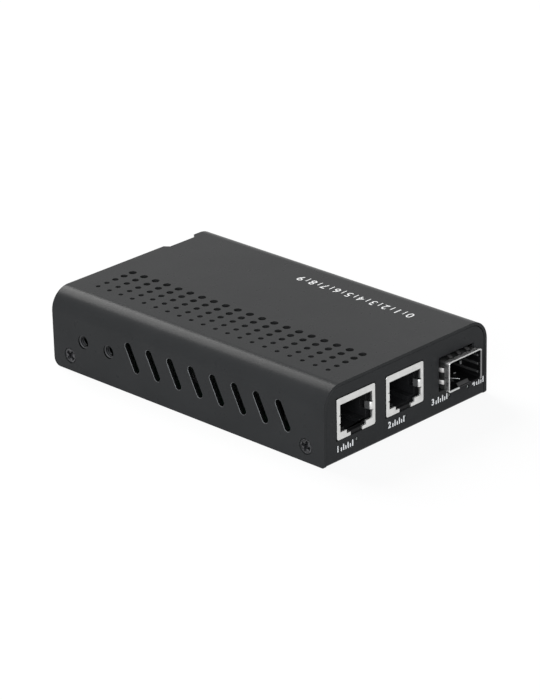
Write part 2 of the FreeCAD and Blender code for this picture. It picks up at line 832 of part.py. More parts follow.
def hexagon(x, y, flats):
    """The corners of a hexagon with two corners on the X axis, from its width across flats."""
    radius = f"({flats} / 3 ^ 0.5)"
    return [(f"{x} + {radius} * cos({60 * corner} deg)", f"{y} + {radius} * sin({60 * corner} deg)")
            for corner in range(6)]


# --------------------------------------------------------------------------- board

def main_board():
    """The board, bored for its screws and for every leg and peg that passes through it."""
    sheet_blank = block("board_blank", (f"-{BOARD_SIDE}", f"-{BOARD_END}", BOARD_BOTTOM),
                        (f"2 * {BOARD_SIDE}", f"2 * {BOARD_END}", size("board_thickness")))
    holes = []
    for number, (x, y) in enumerate(PILLARS, start=1):
        holes.append(small_rod(f"board_hole_{number}", "z", (x, y, BOARD_BOTTOM),
                               put("board_screw_diameter / 2 + board_hole_gap"),
                               size("board_thickness")))
    gap = size("leg_hole_gap")
    for name, x, y, wall, width in leg_places():
        holes.append(block(f"board_slot_{name}",
                           (f"{x} - {wall} / 2 - {gap}", f"{y} - {gap}", BOARD_BOTTOM),
                           (f"{wall} + 2 * {gap}", f"{width} + 2 * {gap}",
                            size("board_thickness"))))
    return carve("main_board_part", sheet_blank, holes + board_notches())


def board_notches():
    """Notches in the board's long edges, clear of the tips of the cover screws."""
    notches = []
    inner = f"({HALF_WIDTH} - sizes.screw_sink - sizes.screw_length - sizes.board_screw_room)"
    half = put("screw_diameter / 2 + board_screw_room")
    for number, (side, end) in enumerate(SCREW_PLACES, start=1):
        low_x = inner if side > 0 else f"-{BOARD_SIDE}"
        notches.append(block(f"board_notch_{number}",
                             (low_x, f"{end} * {SCREW_Y} - {half}", BOARD_BOTTOM),
                             (f"{BOARD_SIDE} - {inner}", f"2 * {half}",
                              size("board_thickness"))))
    return notches


def leg_places():
    """Every sheet-metal leg: name, its X, its front Y, its thickness and its width."""
    places = []
    for jack, x in JACKS.items():
        for side in (-1, 1):
            wall_x = f"({x} + {side} * (sizes.jack_width - sizes.jack_wall) / 2)"
            places.append((f"jack_{jack}_{'l' if side < 0 else 'r'}", wall_x,
                           f"({JACK_FACE} + sizes.jack_leg_setback)",
                           size("jack_wall"), size("leg_width")))
    for row in (0, 1):
        for side in (-1, 1):
            wall_x = f"(sizes.cage_x + {side} * (sizes.cage_width - sizes.cage_wall) / 2)"
            y = f"({CAGE_MOUTH} + sizes.cage_leg_setback + {row} * sizes.cage_leg_pitch)"
            places.append((f"cage_{row}_{'l' if side < 0 else 'r'}", wall_x, y,
                           size("cage_wall"), size("leg_width")))
    return places


def legs_of(owner):
    """Solid legs of one owner, from its lower edge through the board."""
    tops = {"jack": BOARD_TOP, "cage": CAGE_BOTTOM}
    legs = []
    for name, x, y, wall, width in leg_places():
        if name.startswith(owner):
            low = f"({BOARD_BOTTOM} - sizes.leg_reach)"
            top = f"({tops[owner.split('_')[0]]} + sizes.jack_wall)"
            legs.append(block(f"leg_{name}", (f"{x} - {wall} / 2", y, low),
                              (wall, width, f"{top} - {low}")))
    return legs


def board_standoffs():
    """Round pillars on hexagon feet that are pressed flush into the base, bored for screws."""
    pillars = []
    bore_radius = put("board_screw_diameter / 2 + thread_gap")
    for number, (x, y) in enumerate(PILLARS, start=1):
        foot = doc.addObject("Part::Prism", f"pillar_{number}_foot")
        foot.Polygon = 6
        bind(foot, Circumradius="sizes.pillar_foot_flats / 3 ^ 0.5", Height=size("tray_wall"),
             at_x=x, at_y=y, at_z="0")
        barrel = small_rod(f"pillar_{number}_barrel", "z", (x, y, size("tray_wall")),
                           put("pillar_diameter / 2"), size("pillar_height"))
        bore = small_rod(f"pillar_{number}_bore", "z", (x, y, size("tray_wall")), bore_radius,
                         size("pillar_height"))
        blank = join(f"pillar_{number}_blank", [foot, barrel])
        pillars.append(carve(f"pillar_{number}", blank, [bore]))
    return group("board_standoffs_part", pillars)


def board_screws():
    """Pan-head screws down into the pillars."""
    screws = []
    for number, (x, y) in enumerate(PILLARS, start=1):
        name = f"board_screw_{number}"
        head = small_rod(name + "_head", "z", (x, y, BOARD_TOP),
                         put("board_screw_head_diameter / 2"), size("board_screw_head_height"))
        low = f"({BOARD_TOP} - sizes.board_screw_length)"
        shank = small_rod(name + "_shank", "z", (x, y, low), put("board_screw_diameter / 2"),
                          size("board_screw_length"))
        screws.append(join(name, [head, shank]))
    return group("board_screws_part", screws)


# --------------------------------------------------------------------------- copper jacks

def jack_shield(jack, x):
    """A folded metal shell: closed top, sides and back, and a face with the stepped window."""
    name = f"shield_{jack}"
    wall = size("jack_wall")
    outer = centred_block(name + "_outer", x, JACK_FACE, BOARD_TOP,
                          (size("jack_width"), size("jack_length"), size("jack_height")))
    inner = centred_block(name + "_inner", x, f"{JACK_FACE} + {wall}", BOARD_TOP,
                          (put("jack_width - 2 * jack_wall"), put("jack_length - 2 * jack_wall"),
                           put("jack_height - jack_wall")))
    window = centred_block(name + "_window", x, JACK_FACE, f"{BOARD_TOP} + sizes.window_sill",
                           (put("jack_width - 2 * window_side_border"), wall,
                            put("jack_height - window_top_border - window_sill")))
    step = centred_block(name + "_step", x, JACK_FACE, f"{BOARD_TOP} + sizes.latch_step_sill",
                         (size("latch_step_width"), wall,
                          put("window_sill - latch_step_sill")))
    latch = centred_block(name + "_latch", x, JACK_FACE, BOARD_TOP,
                          (size("latch_gap_width"), wall, size("latch_step_sill")))
    shell = carve(name + "_shell", outer, [inner, window, step, latch])
    tabs = [ground_tab(f"{name}_tab_{side}", x, side) for side in (-1, 1)]
    return join(name + "_part", [shell] + tabs + legs_of(f"jack_{jack}"))


def ground_tab(name, x, side):
    """A spring tab that leaves the window's side edge and leans into the opening."""
    tab = doc.addObject("Part::Box", name)
    bind(tab, Length=size("jack_wall"), Width=size("ground_tab_length"),
         Height=size("ground_tab_height"))
    edge = f"({x} + {side} * (sizes.jack_width / 2 - sizes.window_side_border))"
    outwards = f"{(side - 1) // 2} * sizes.jack_wall"
    turn = FreeCAD.Rotation(FreeCAD.Vector(0, 0, 1), side * value(size("ground_tab_angle")))
    tab.Placement = FreeCAD.Placement(FreeCAD.Vector(), turn)
    return bind(tab, at_x=f"{edge} + {outwards}", at_y=JACK_FACE,
                at_z=f"{BOARD_TOP} + sizes.ground_tab_sill")


def jack_insert(jack, x):
    """The moulded block that fills the shell, with the plug's stepped cavity."""
    name = f"insert_{jack}"
    slack = put("2 * jack_wall + 2 * jack_insert_gap")
    front = f"({JACK_FACE} + sizes.jack_insert_setback)"
    body = centred_block(
        name + "_body", x, front, BOARD_TOP,
        (f"sizes.jack_width - {slack}",
         "sizes.jack_length - sizes.jack_insert_setback - sizes.jack_wall - sizes.jack_insert_gap",
         "sizes.jack_height - sizes.jack_wall - sizes.jack_insert_gap"))
    sill = centred_block(name + "_sill", x, f"{JACK_FACE} + sizes.jack_wall + sizes.jack_insert_gap",
                         BOARD_TOP, (size("latch_step_width"), size("jack_insert_setback"),
                                     put("latch_channel_sill - jack_insert_gap")))
    cavity = centred_block(name + "_cavity", x, front, f"{BOARD_TOP} + sizes.cavity_sill",
                           (size("cavity_width"), size("cavity_depth"),
                            put("cavity_top - cavity_sill")))
    channel = centred_block(name + "_channel", x, front,
                            f"{BOARD_TOP} + sizes.latch_channel_sill",
                            (size("latch_channel_width"), size("cavity_depth"),
                             put("cavity_sill - latch_channel_sill")))
    cuts = [cavity, channel] + tab_reliefs(name, x, front)
    return carve(name + "_part", join(name + "_blank", [body, sill]), cuts)


def tab_reliefs(name, x, front):
    """Room in the block's front corners for the shell's two spring tabs."""
    reliefs = []
    reach = put("ground_tab_length - jack_insert_setback + jack_insert_gap")
    inner = put("cavity_width / 2")
    outer = put("jack_width / 2 - jack_wall - jack_insert_gap")
    for side in (-1, 1):
        low = f"{x} + {inner}" if side > 0 else f"{x} - {outer}"
        reliefs.append(block(f"{name}_relief_{side + 1}",
                             (low, front, f"{BOARD_TOP} + sizes.ground_tab_sill - sizes.jack_insert_gap"),
                             (f"{outer} - {inner}", reach,
                              put("ground_tab_height + 2 * jack_insert_gap"))))
    return reliefs


def jack_contacts(jack, x):
    """Spring wires that lie against the cavity's ceiling and slope down towards the back."""
    wires = []
    wire = size("contact_wire")
    front = f"({JACK_FACE} + sizes.jack_insert_setback + sizes.contact_root)"
    top = f"({BOARD_TOP} + sizes.cavity_top)"
    turn = FreeCAD.Rotation(FreeCAD.Vector(1, 0, 0), -value(size("contact_angle")))
    for number in range(int(value(size("contact_count")))):
        name = f"contact_{jack}_{number + 1}"
        place = f"({x} + ({number} - (sizes.contact_count - 1) / 2) * sizes.contact_pitch)"
        root = centred_block(name + "_root", place, f"{front} - sizes.contact_root + {wire}",
                             f"{top} - {wire}", (wire, size("contact_root"), wire))
        spring = doc.addObject("Part::Box", name + "_spring")
        spring.Placement = FreeCAD.Placement(FreeCAD.Vector(), turn)
        bind(spring, Length=wire, Width=size("contact_run"), Height=wire,
             at_x=f"{place} - {wire} / 2", at_y=front, at_z=f"{top} - {wire}")
        wires.append(join(name, [root, spring]))
    return group(f"contacts_{jack}_part", wires)


# --------------------------------------------------------------------------- module cage

def cage_tube(name, grow, y, length):
    """A box with rounded long edges, the cage's outline grown by an amount on every side."""
    box = centred_block(
        name + "_box", size("cage_x"), y, f"{CAGE_BOTTOM} - {grow}",
        (f"(sizes.cage_width + 2 * {grow})", length, f"(sizes.cage_height + 2 * {grow})"))
    return round_edges(name, box, f"(sizes.cage_corner_radius + {grow})",
                       lambda edge, middle: is_along(edge, "y"))


def module_cage():
    """A folded shell open at the mouth, with a turned-out rim, legs and a guide tongue."""
    wall = size("cage_wall")
    outer = cage_tube("cage_outer", "0", CAGE_MOUTH, size("cage_length"))
    rim = cage_tube("cage_rim", size("rim_lip"), CAGE_MOUTH, size("rim_depth"))
    inner = cage_tube("cage_inner", f"(-{wall})", CAGE_MOUTH, put("cage_length - cage_wall"))
    tail = centred_block(
        "cage_tail", size("cage_x"),
        f"{CAGE_MOUTH} + sizes.cage_length - sizes.cage_wall - sizes.cage_tail_opening",
        f"{CAGE_BOTTOM} - {wall}",
        (put("cage_width - 2 * cage_wall"), size("cage_tail_opening"), CAGE_CUT))
    rim_gap = centred_block("cage_rim_gap", size("cage_x"), CAGE_MOUTH,
                            f"{CAGE_BOTTOM} - sizes.rim_lip",
                            (size("guide_tongue_width"), size("rim_depth"), size("rim_lip")))
    blank = join("cage_blank", [outer, rim])
    shell = carve("cage_shell", blank, [inner, tail, rim_gap])
    return join("module_cage_part", [shell, guide_tongue()] + legs_of("cage"))


def guide_tongue():
    """The middle of the lower edge leans out and down, to lead the module in."""
    tongue = doc.addObject("Part::Box", "guide_tongue")
    turn = FreeCAD.Rotation(FreeCAD.Vector(1, 0, 0), 180 + value(size("guide_tongue_angle")))
    tongue.Placement = FreeCAD.Placement(FreeCAD.Vector(), turn)
    bind(tongue, Length=size("guide_tongue_width"), Width=size("guide_tongue_length"),
         Height=size("cage_wall"))
    return bind(tongue, at_x="sizes.cage_x - sizes.guide_tongue_width / 2",
                at_y=f"{CAGE_MOUTH} + sizes.rim_depth", at_z=f"{CAGE_BOTTOM} + sizes.cage_wall")


def cage_spring_collar():
    """A band round the cage behind its rim, with bowed fingers on all four sides."""
    seat = size("collar_seat_gap")
    grown = put("collar_seat_gap + collar_wall")
    start = f"({CAGE_MOUTH} + sizes.rim_depth)"
    outer = cage_tube("collar_outer", grown, start, size("collar_band"))
    inner = cage_tube("collar_inner", seat, start, size("collar_band"))
    band = carve("collar_band_ring", outer, [inner])
    fingers = []
    sides = (
        ("left", 90, "cage_width", "finger_side_count", "cage_side_clearance"),
        ("right", -90, "cage_width", "finger_side_count", "cage_side_clearance"),
        ("top", 0, "cage_height", "finger_top_count", "cage_top_clearance"),
        ("bottom", 180, "cage_height", "finger_top_count", "cage_bottom_clearance"),
    )
    for name, turn, across, count_name, clearance in sides:
        count = int(value(size(count_name)))
        for number in range(count):
            shift = f"(({number} - ({count} - 1) / 2) * sizes.finger_pitch)"
            reach = put(f"{clearance} - finger_panel_gap - collar_wall - collar_seat_gap")
            fingers.append(
                spring_finger(f"finger_{name}_{number + 1}", turn, across, shift, reach))
    return join("cage_spring_collar_part", [band] + fingers)


def spring_finger(name, turn, across, shift, reach):
    """One bowed strip: off the band, out almost to the panel's cut-out, and back again."""
    start = value(f"({CAGE_MOUTH} + sizes.rim_depth + sizes.collar_band)")
    length = value(size("finger_length"))
    low = value(f"({size(across)} / 2 + sizes.collar_seat_gap)")
    wall = value(size("collar_wall"))
    bow = value(reach)
    crest = value(f"(-{PANEL_FACE} + sizes.tray_wall / 2)")
    flat = value(size("finger_crest")) / 2
    outline = [
        (start - flat, low), (start, low), (crest - flat, low + bow), (crest + flat, low + bow),
        (start + length, low),
    ]
    outer = [(y, z + wall) for y, z in reversed(outline)]
    half = value(size("finger_width")) / 2
    points = [FreeCAD.Vector(-half, y, z) for y, z in outline + outer]
    profile = Part.Face(Part.makePolygon(points + points[:1]))
    finger = doc.addObject("Part::Feature", name)
    finger.Shape = profile.extrude(FreeCAD.Vector(2 * half, 0, 0))
    rotation = FreeCAD.Rotation(FreeCAD.Vector(0, 1, 0), -turn)
    along = rotation.multVec(FreeCAD.Vector(value(shift), 0, 0))
    centre = FreeCAD.Vector(value(size("cage_x")), 0, value(CAGE_MIDDLE))
    finger.Placement = FreeCAD.Placement(centre + along, rotation)
    return finger


def cage_connector():
    """The board connector in the cage's tail, with the slot that takes the module's card edge."""
    length = size("connector_length")
    front = (f"({CAGE_MOUTH} + sizes.cage_length - sizes.cage_wall - sizes.connector_end_gap"
             f" - {length})")
    body = centred_block("connector_body", size("cage_x"), front, BOARD_TOP,
                         (size("connector_width"), length, size("connector_height")))
    slot = centred_block("connector_slot", size("cage_x"), front,
                         f"{BOARD_TOP} + sizes.card_slot_middle - sizes.card_slot_height / 2",
                         (size("card_slot_width"), size("card_slot_depth"),
                          size("card_slot_height")))
    return carve("cage_connector_part", body, [slot])


# --------------------------------------------------------------------------- lamps

def status_lamp(number, x):
    """A side-shining lamp under the board's front edge: a square case and a round lens."""
    name = f"lamp_{number}"
    front = f"(-{BOARD_END})"
    case = centred_block(name + "_case", x, front, f"{BOARD_BOTTOM} - sizes.lamp_height",
                         (size("lamp_width"), size("lamp_depth"), size("lamp_height")))
    nose = put("board_end_gap + tray_wall / 2")
    lens = small_rod(name + "_lens", "y", (x, f"{front} - {nose}", LAMP_HEIGHT),
                     size("lamp_lens_radius"), f"{nose} + sizes.lamp_depth / 2")
    return join(name + "_part", [case, lens])


# --------------------------------------------------------------------------- power socket

def power_socket_body():
    """A square-faced socket with a round bore; behind its flange the block is narrower."""
    x = size("socket_x")
    flange = centred_block("socket_flange_block", x, f"{SOCKET_FACE} - sizes.socket_flange",
                           BOARD_TOP, (size("socket_width"), size("socket_flange"),
                                       size("socket_height")))
    body = centred_block("socket_rear_block", x, f"{SOCKET_FACE} - sizes.socket_length",
                         BOARD_TOP,
                         (put("socket_width - 2 * socket_shoulder"), size("socket_length"),
                          put("socket_height - socket_shoulder")))
    blank = join("socket_blank", [flange, body])
    bore = rod("socket_bore", "y",
               (x, f"{SOCKET_FACE} - sizes.socket_bore_depth", SOCKET_AXIS),
               put("socket_bore_diameter / 2"), size("socket_bore_depth"))
    pin_hole = rod("socket_pin_hole", "y", (x, f"{SOCKET_FACE} - sizes.socket_length", SOCKET_AXIS),
                   put("socket_pin_shank / 2 + press_gap"), size("socket_length"))
    leaf_low, leaf_extent = socket_leaf_box("press_gap")
    leaf_room = centred_block("socket_leaf_room", x, leaf_low[0], leaf_low[1], leaf_extent)
    return carve("power_socket_body_part", blank, [bore, pin_hole, leaf_room])


def socket_leaf_box(gap):
    """Low Y, low Z and extents of the side contact, grown by a gap; it lies under the bore."""
    spare = size(gap) if gap else "0"
    low_y = f"({SOCKET_FACE} - sizes.socket_bore_depth - {spare})"
    low_z = (f"({SOCKET_AXIS} - sizes.socket_bore_diameter / 2 - sizes.socket_leaf_thickness"
             f" + sizes.socket_leaf_reach - {spare})")
    extent = (f"(sizes.socket_leaf_width + 2 * {spare})",
              f"(sizes.socket_bore_depth - sizes.socket_flange + 2 * {spare})",
              f"(sizes.socket_leaf_thickness + 2 * {spare})")
    return (low_y, low_z), extent


def power_socket_pin():
    """The centre pin on a thinner shank, which runs through the block to its tail on the board."""
    x = size("socket_x")
    back = f"({SOCKET_FACE} - sizes.socket_length - sizes.socket_tail)"
    root = f"({SOCKET_FACE} - sizes.socket_bore_depth)"
    radius, bevel = put("socket_pin_diameter / 2"), size("socket_pin_bevel")
    length = f"(sizes.socket_bore_depth - sizes.socket_pin_setback - {bevel})"
    pin = rod("socket_pin_rod", "y", (x, root, SOCKET_AXIS), radius, length)
    tip = cone("socket_pin_tip", FreeCAD.Rotation(FreeCAD.Vector(1, 0, 0), -90),
               (x, f"{root} + {length}", SOCKET_AXIS), radius, f"({radius} - {bevel})", bevel)
    shank = rod("socket_pin_shank", "y", (x, back, SOCKET_AXIS), put("socket_pin_shank / 2"),
                f"{root} - {back}")
    tail = centred_block("socket_pin_tail", x, back, BOARD_TOP,
                         (size("socket_leaf_width"), put("socket_tail - press_gap"),
                          size("socket_axis_height")))
    return join("power_socket_pin_part", [pin, tip, shank, tail])


def power_socket_spring():
    low, extent = socket_leaf_box(None)
    return centred_block("power_socket_spring_part", size("socket_x"), low[0], low[1], extent)


# --------------------------------------------------------------------------- parts on the board

def leaded_part(name, x, y, length, width, height, leads, pitch):
    """A moulded block with a row of flat leads along both long sides."""
    body = block(name + "_body", (f"{x} - {length} / 2", f"{y} - {width} / 2",
                                  f"{BOARD_TOP} + sizes.lead_thickness"),
                 (length, width, f"{height} - sizes.lead_thickness"))
    pieces = [body]
    reach = f"({width} + 2 * sizes.lead_reach)"
    for number in range(int(value(leads))):
        place = f"({x} + ({number} - ({leads} - 1) / 2) * {pitch})"
        pieces.append(centred_block(f"{name}_lead_{number + 1}", place, f"{y} - {reach} / 2",
                                    BOARD_TOP, (size("lead_width"), reach, LEAD_HEIGHT)))
    return join(name + "_part", pieces)


def flat_chip(name, side):
    """A thin square package that lies on the board, with its upper edges bevelled."""
    x, y = size(name + "_x"), size(name + "_y")
    body = block(name + "_blank", (f"{x} - {side} / 2", f"{y} - {side} / 2", BOARD_TOP),
                 (side, side, size("chip_thickness")))
    doc.recompute()
    top = body.Shape.BoundBox.ZMax
    bevel = doc.addObject("Part::Chamfer", name + "_part")
    bevel.Base = body
    amount = value(size("chip_bevel"))
    chosen = edge_names(body.Shape, lambda edge, middle: abs(middle.z - top) < 1e-6)
    bevel.Edges = [(int(edge[4:]), amount, amount) for edge in chosen]
    return bevel


def crystal_can():
    """A pressed can with half-round ends on a slightly larger skirt."""
    x, y = size("crystal_x"), size("crystal_y")

    def racetrack(name, grow, low_z, height):
        straight = put("crystal_length - crystal_width")
        radius = f"(sizes.crystal_width / 2 + {grow})"
        middle = block(name + "_middle", (f"{x} - {straight} / 2", f"{y} - {radius}", low_z),
                       (straight, f"2 * {radius}", height))
        ends = [rod(f"{name}_end_{sign}", "z", (f"{x} {sign} {straight} / 2", y, low_z),
                    radius, height) for sign in "+-"]
        return join(name, [middle] + ends)

    skirt = racetrack("crystal_skirt_plate", size("crystal_skirt"), BOARD_TOP,
                      size("crystal_skirt"))
    can = racetrack("crystal_shell", "0", BOARD_TOP, size("crystal_height"))
    return join("crystal_can_part", [skirt, can])


def voltage_regulator():
    """A small moulded block with a wide tab on one side and three leads on the other."""
    x, y = size("regulator_x"), size("regulator_y")
    body = block("regulator_body", (f"{x} - sizes.regulator_length / 2",
                                    f"{y} - sizes.regulator_width / 2",
                                    f"{BOARD_TOP} + sizes.lead_thickness"),
                 (size("regulator_length"), size("regulator_width"),
                  put("regulator_height - lead_thickness")))
    tab = centred_block("regulator_tab", x, y, BOARD_TOP,
                        (size("regulator_tab_width"),
                         put("regulator_width / 2 + lead_reach"), LEAD_HEIGHT))
    pieces = [body, tab]
    for number in (-1, 0, 1):
        pieces.append(centred_block(
            f"regulator_lead_{number + 2}", f"({x} + {number} * sizes.regulator_lead_pitch)",
            f"{y} - sizes.regulator_width / 2 - sizes.lead_reach", BOARD_TOP,
            (size("lead_width"), put("regulator_width / 2 + lead_reach"), LEAD_HEIGHT)))
    return join("voltage_regulator_part", pieces)


def power_inductor():
    """A square ferrite with cut corners and a round recess that shows its winding's cap."""
    x, y = size("inductor_x"), size("inductor_y")
    body = block("inductor_block", (f"{x} - sizes.inductor_side / 2",
                                    f"{y} - sizes.inductor_side / 2", BOARD_TOP),
                 (size("inductor_side"), size("inductor_side"), size("inductor_height")))
    doc.recompute()
    cut = doc.addObject("Part::Chamfer", "inductor_corners")
    cut.Base = body
    amount = value(size("inductor_corner"))
    chosen = edge_names(body.Shape, lambda edge, middle: is_along(edge, "z"))
    cut.Edges = [(int(edge[4:]), amount, amount) for edge in chosen]
    top = f"({BOARD_TOP} + sizes.inductor_height - sizes.inductor_window_depth)"
    recess = rod("inductor_recess", "z", (x, y, top), put("inductor_window / 2"),
                 size("inductor_window_depth"))
    return carve("power_inductor_part", cut, [recess])


def capacitor(name):
    """An upright can, turned from one profile, with a rolled upper edge."""
    can = Body(name)
    profile = can.sketch("XZ_Plane", "profile", f"sizes.{name}_rear_inset - {BOARD_END}")
    x, radius = size(name + "_x"), put("capacitor_diameter / 2")
    bevel = size("capacitor_bevel")
    top = f"({BOARD_TOP} + sizes.capacitor_height)"
    closed_outline(profile, (
        (x, BOARD_TOP),
        (f"{x} + {radius}", BOARD_TOP),
        (f"{x} + {radius}", f"{top} - {bevel}"),
        (f"{x} + {radius} - {bevel}", top),
        (x, top),
    ))
    turned = can.feature("Revolution", "turned", profile)
    turned.ReferenceAxis = (profile, ["Edge5"])
    turned.Angle = 360
    return can.body


def line_transformer(jack, x):
    y = f"({JACK_FACE} + sizes.jack_length + sizes.transformer_setback)"
    return leaded_part(f"transformer_{jack}", x, y, size("transformer_length"),
                       size("transformer_width"), size("transformer_height"),
                       size("transformer_leads"), size("transformer_lead_pitch"))


# --------------------------------------------------------------------------- all the pieces

def build_pieces():
    """Every sub-part, under the name that its file gets."""
    pieces = {
        "top_cover": top_cover(),
        "cover_screws": cover_screws(),
        "chassis_tray": chassis_tray(),
        "main_board": main_board(),
        "board_standoffs": board_standoffs(),
        "board_screws": board_screws(),
        "module_cage": module_cage(),
        "cage_spring_collar": cage_spring_collar(),
        "cage_connector": cage_connector(),
        "power_socket_body": power_socket_body(),
        "power_socket_pin": power_socket_pin(),
        "power_socket_spring": power_socket_spring(),
        "switch_chip": flat_chip("switch_chip", size("switch_chip_side")),
        "transceiver_chip": flat_chip("transceiver_chip", size("transceiver_chip_side")),
        "memory_chip": leaded_part(
            "memory_chip", size("memory_chip_x"), size("memory_chip_y"),
            size("memory_chip_length"), size("memory_chip_width"), size("memory_chip_height"),
            size("memory_chip_leads"), size("memory_chip_pitch")),
        "crystal_can": crystal_can(),
        "voltage_regulator": voltage_regulator(),
        "power_inductor": power_inductor(),
        "input_capacitor": capacitor("input_capacitor"),
        "output_capacitor": capacitor("output_capacitor"),
    }
    for jack, x in JACKS.items():
        pieces[f"ethernet_shield_{jack}"] = jack_shield(jack, x)
        pieces[f"ethernet_insert_{jack}"] = jack_insert(jack, x)
        pieces[f"ethernet_contacts_{jack}"] = jack_contacts(jack, x)
        pieces[f"line_transformer_{jack}"] = line_transformer(jack, x)
    for number, x in enumerate(LAMPS, start=1):
        pieces[f"status_lamp_{number}"] = status_lamp(number, x)
    return pieces


def check_document(pieces):
    """Stops if a feature failed or a sub-part has no valid solid."""
    for thing in doc.Objects:
        if "Invalid" in thing.State or "Error" in thing.State:
            raise RuntimeError(f"{thing.Name} failed: {thing.State}")
    for name, piece in pieces.items():
        shape = piece.Shape
        if shape.isNull() or not shape.isValid() or not shape.Solids:
            raise RuntimeError(name + " has no valid solid")


def main():
    pieces = build_pieces()
    for name, piece in pieces.items():
        piece.Label = name
    doc.recompute()
    check_document(pieces)
    os.makedirs("parts", exist_ok=True)
    for name, piece in pieces.items():
        piece.Shape.exportStep(os.path.join("parts", name + ".step"))
    print(len(pieces), "pieces,", sum(len(p.Shape.Solids) for p in pieces.values()), "solids")


main()
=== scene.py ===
"""Looks of the fibre media converter: finishes, detailed metalwork, marks, light and camera.

Laid out as an add-on. Every piece stands in metres in the model's own frame: +X to the right of
the port face, +Y from the port face to the rear, +Z up, origin in the middle of the underside.
"""

import json
import math
from contextlib import contextmanager

import bmesh
import bpy
from mathutils import Matrix, Vector


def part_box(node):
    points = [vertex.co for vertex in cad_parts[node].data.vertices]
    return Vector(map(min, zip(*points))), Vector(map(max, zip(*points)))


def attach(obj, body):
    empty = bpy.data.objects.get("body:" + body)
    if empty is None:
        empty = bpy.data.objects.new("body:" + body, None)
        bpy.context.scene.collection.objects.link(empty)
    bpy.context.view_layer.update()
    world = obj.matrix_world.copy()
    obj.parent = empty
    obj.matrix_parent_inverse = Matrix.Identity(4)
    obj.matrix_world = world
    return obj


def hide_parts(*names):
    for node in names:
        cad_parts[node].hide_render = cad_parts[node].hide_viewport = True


bl_info = {
    "name": "Fibre media converter looks",
    "version": (1, 0, 0),
    "blender": (4, 5, 0),
    "location": "3D View > Sidebar > Converter",
    "description": "Finishes and detailed pieces of a small two-port fibre media converter",
    "category": "Object",
}

MM = 0.001
SHEET_ROUND = 0.04 * MM  # rounding of the edges of punched sheet
STRIP_ROUND = 0.05 * MM  # rounding of the edges of a narrow strip
SMALL_ROUND = 0.12 * MM  # rounding of the edges of the tray, the port mouldings and the stops
SOCKET_ROUND = 0.15 * MM  # rounding of the edges of the power socket
BEYOND = 1.0 * MM  # how far a cutter stands out of its sheet or into the next cutter
HAIR = 0.02 * MM  # how far a face stays off, or reaches into, the face that it meets
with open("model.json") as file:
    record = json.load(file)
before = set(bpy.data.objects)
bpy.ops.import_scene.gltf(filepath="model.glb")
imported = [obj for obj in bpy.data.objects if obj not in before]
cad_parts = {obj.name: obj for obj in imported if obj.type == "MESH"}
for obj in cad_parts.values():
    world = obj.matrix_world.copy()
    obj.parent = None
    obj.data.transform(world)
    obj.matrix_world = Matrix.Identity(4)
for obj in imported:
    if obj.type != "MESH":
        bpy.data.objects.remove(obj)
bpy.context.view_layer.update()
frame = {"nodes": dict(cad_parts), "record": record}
COVER_LOW, COVER_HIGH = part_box("top_cover")
PANEL_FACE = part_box("chassis_tray")[0].y
BOARD_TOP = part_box("main_board")[1].z
CAGE_LOW, CAGE_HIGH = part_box("module_cage")
COLLAR_LOW, COLLAR_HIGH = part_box("cage_spring_collar")
JACKS = ("left", "middle")
AXIS_X, AXIS_Y, AXIS_Z = Vector((1, 0, 0)), Vector((0, 1, 0)), Vector((0, 0, 1))


# ------------------------------------------------------------------------------ settings

def length(name, description, millimetres):
    """A length setting, given in millimetres and kept in metres."""
    return bpy.props.FloatProperty(
        name=name, description=description, default=millimetres * MM, unit="LENGTH",
        subtype="DISTANCE", precision=5,
    )


def colour(name, description, value):
    return bpy.props.FloatVectorProperty(
        name=name, description=description, default=value, size=3, subtype="COLOR",
        min=0.0, max=1.0,
    )


def share(name, description, value, top=1.0):
    return bpy.props.FloatProperty(
        name=name, description=description, default=value, min=0.0, max=top, subtype="FACTOR",
    )


def angle(name, description, degrees):
    return bpy.props.FloatProperty(
        name=name, description=description, default=math.radians(degrees), subtype="ANGLE",
    )


def count(name, description, value):
    return bpy.props.IntProperty(name=name, description=description, default=value, min=1)


